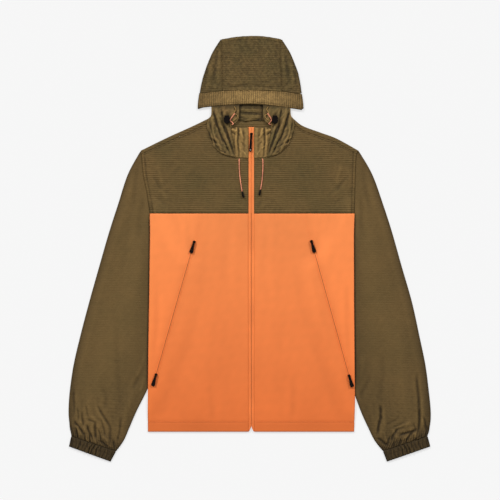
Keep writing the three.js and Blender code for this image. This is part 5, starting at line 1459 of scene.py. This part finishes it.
class WindbreakerSizes(bpy.types.PropertyGroup):
    """Sizes that change the look of the cloth."""

    rib_pitch: FloatProperty(name="Rib Pitch", description="Distance between the raised ribs of the shell",
                             default=0.005, min=0.002, max=0.02, unit="LENGTH")
    stitch_pitch: FloatProperty(name="Stitch Pitch", description="Distance from one stitch to the next",
                                default=0.0034, min=0.002, max=0.01, unit="LENGTH")
    floor_size: FloatProperty(name="Floor Size", description="Width of the floor under the jacket",
                              default=50.0, min=2.0, max=100.0, unit="LENGTH")


class WindbreakerColours(bpy.types.PropertyGroup):
    """Colours of the cloth and trims, as seen."""

    olive: FloatVectorProperty(name="Olive", description="Hood, yoke and sleeves", size=3, min=0, max=1,
                               default=(0.412, 0.325, 0.19), subtype="COLOR_GAMMA")
    sand: FloatVectorProperty(name="Sand", description="Chin panels", size=3, min=0, max=1,
                              default=(0.535, 0.425, 0.245), subtype="COLOR_GAMMA")
    orange: FloatVectorProperty(name="Orange", description="Lower body", size=3, min=0, max=1,
                                default=(0.945, 0.515, 0.272), subtype="COLOR_GAMMA")
    tape: FloatVectorProperty(name="Zip Tape", description="Zip tape", size=3, min=0, max=1,
                              default=(0.965, 0.53, 0.285), subtype="COLOR_GAMMA")
    cord: FloatVectorProperty(name="Cord", description="Drawcords", size=3, min=0, max=1,
                              default=(0.88, 0.56, 0.43), subtype="COLOR_GAMMA")


def on_both_sides(make):
    for side in SIDES:
        make(side)


class WINDBREAKER_OT_stage(bpy.types.Operator):
    """Makes the camera, the pale floor and the soft light"""

    bl_idname = "windbreaker.stage"
    bl_label = "Stage"
    bl_options = {"REGISTER", "UNDO"}

    def execute(self, context):
        make_stage()
        return {"FINISHED"}


class WINDBREAKER_OT_cords(bpy.types.Operator):
    """Makes the drawcords and the cords at the locks"""

    bl_idname = "windbreaker.cords"
    bl_label = "Cords"
    bl_options = {"REGISTER", "UNDO"}

    def execute(self, context):
        on_both_sides(make_drawcord)
        on_both_sides(make_lock_cord)
        return {"FINISHED"}


class WINDBREAKER_OT_back(bpy.types.Operator):
    """Makes the back panel and the back yoke"""

    bl_idname = "windbreaker.back"
    bl_label = "Back"
    bl_options = {"REGISTER", "UNDO"}

    def execute(self, context):
        make_back_lower()
        make_back_yoke()
        return {"FINISHED"}


class WINDBREAKER_OT_fronts(bpy.types.Operator):
    """Makes the two lower fronts, folded round the sides"""

    bl_idname = "windbreaker.fronts"
    bl_label = "Fronts"
    bl_options = {"REGISTER", "UNDO"}

    def execute(self, context):
        on_both_sides(make_front)
        return {"FINISHED"}


class WINDBREAKER_OT_yokes(bpy.types.Operator):
    """Makes the two front yokes"""

    bl_idname = "windbreaker.yokes"
    bl_label = "Front Yokes"
    bl_options = {"REGISTER", "UNDO"}

    def execute(self, context):
        on_both_sides(make_yoke)
        return {"FINISHED"}


class WINDBREAKER_OT_sleeves(bpy.types.Operator):
    """Makes the two sleeves, pressed flat"""

    bl_idname = "windbreaker.sleeves"
    bl_label = "Sleeves"
    bl_options = {"REGISTER", "UNDO"}

    def execute(self, context):
        on_both_sides(make_sleeve)
        return {"FINISHED"}


class WINDBREAKER_OT_cuffs(bpy.types.Operator):
    """Makes the two gathered cuffs"""

    bl_idname = "windbreaker.cuffs"
    bl_label = "Cuffs"
    bl_options = {"REGISTER", "UNDO"}

    def execute(self, context):
        on_both_sides(make_cuff)
        return {"FINISHED"}


class WINDBREAKER_OT_hood(bpy.types.Operator):
    """Makes the hood's centre, sides and brim"""

    bl_idname = "windbreaker.hood"
    bl_label = "Hood"
    bl_options = {"REGISTER", "UNDO"}

    def execute(self, context):
        make_hood_centre()
        on_both_sides(make_hood_side)
        make_hood_brim()
        return {"FINISHED"}


class WINDBREAKER_OT_collar(bpy.types.Operator):
    """Makes the gathered front flaps, the chin panels and the rolled edges"""

    bl_idname = "windbreaker.collar"
    bl_label = "Collar"
    bl_options = {"REGISTER", "UNDO"}

    def execute(self, context):
        on_both_sides(make_flap)
        on_both_sides(make_chin)
        on_both_sides(make_edge_piping)
        return {"FINISHED"}


class WINDBREAKER_OT_zips(bpy.types.Operator):
    """Makes the main zip's tapes and coil, and the pocket zips"""

    bl_idname = "windbreaker.zips"
    bl_label = "Zips"
    bl_options = {"REGISTER", "UNDO"}

    def execute(self, context):
        on_both_sides(make_zip_tape)
        make_zip_teeth()
        on_both_sides(make_pocket_zip)
        return {"FINISHED"}


class WINDBREAKER_OT_fittings(bpy.types.Operator):
    """Finishes sliders, pulls, cord locks and tips"""

    bl_idname = "windbreaker.fittings"
    bl_label = "Fittings"
    bl_options = {"REGISTER", "UNDO"}

    def execute(self, context):
        dress_fittings()
        make_pull_stud()
        return {"FINISHED"}


class WINDBREAKER_OT_sewing(bpy.types.Operator):
    """Sews the seams with thread"""

    bl_idname = "windbreaker.sewing"
    bl_label = "Sewing"
    bl_options = {"REGISTER", "UNDO"}

    def execute(self, context):
        make_sewing()
        return {"FINISHED"}


OPERATORS = [
    WINDBREAKER_OT_stage,
    WINDBREAKER_OT_cords,
    WINDBREAKER_OT_back,
    WINDBREAKER_OT_fronts,
    WINDBREAKER_OT_yokes,
    WINDBREAKER_OT_sleeves,
    WINDBREAKER_OT_cuffs,
    WINDBREAKER_OT_hood,
    WINDBREAKER_OT_collar,
    WINDBREAKER_OT_zips,
    WINDBREAKER_OT_fittings,
    WINDBREAKER_OT_sewing,
]


class WINDBREAKER_PT_panel(bpy.types.Panel):
    """Lists the steps that build the jacket."""

    bl_label = "Windbreaker"
    bl_idname = "WINDBREAKER_PT_panel"
    bl_space_type = "VIEW_3D"
    bl_region_type = "UI"
    bl_category = "Windbreaker"

    def draw(self, context):
        for name in WindbreakerSizes.__annotations__:
            self.layout.prop(context.scene.windbreaker_sizes, name)
        for name in WindbreakerColours.__annotations__:
            self.layout.prop(context.scene.windbreaker_colours, name)
        for step in OPERATORS:
            self.layout.operator(step.bl_idname)


CLASSES = [WindbreakerSizes, WindbreakerColours, *OPERATORS, WINDBREAKER_PT_panel]


def register():
    for item in CLASSES:
        bpy.utils.register_class(item)
    bpy.types.Scene.windbreaker_sizes = PointerProperty(type=WindbreakerSizes)
    bpy.types.Scene.windbreaker_colours = PointerProperty(type=WindbreakerColours)


def unregister():
    del bpy.types.Scene.windbreaker_colours
    del bpy.types.Scene.windbreaker_sizes
    for item in reversed(CLASSES):
        bpy.utils.unregister_class(item)


def main():
    register()
    for step in OPERATORS:
        group, name = step.bl_idname.split(".")
        getattr(getattr(bpy.ops, group), name)()


if __name__ == "__main__":
    main()
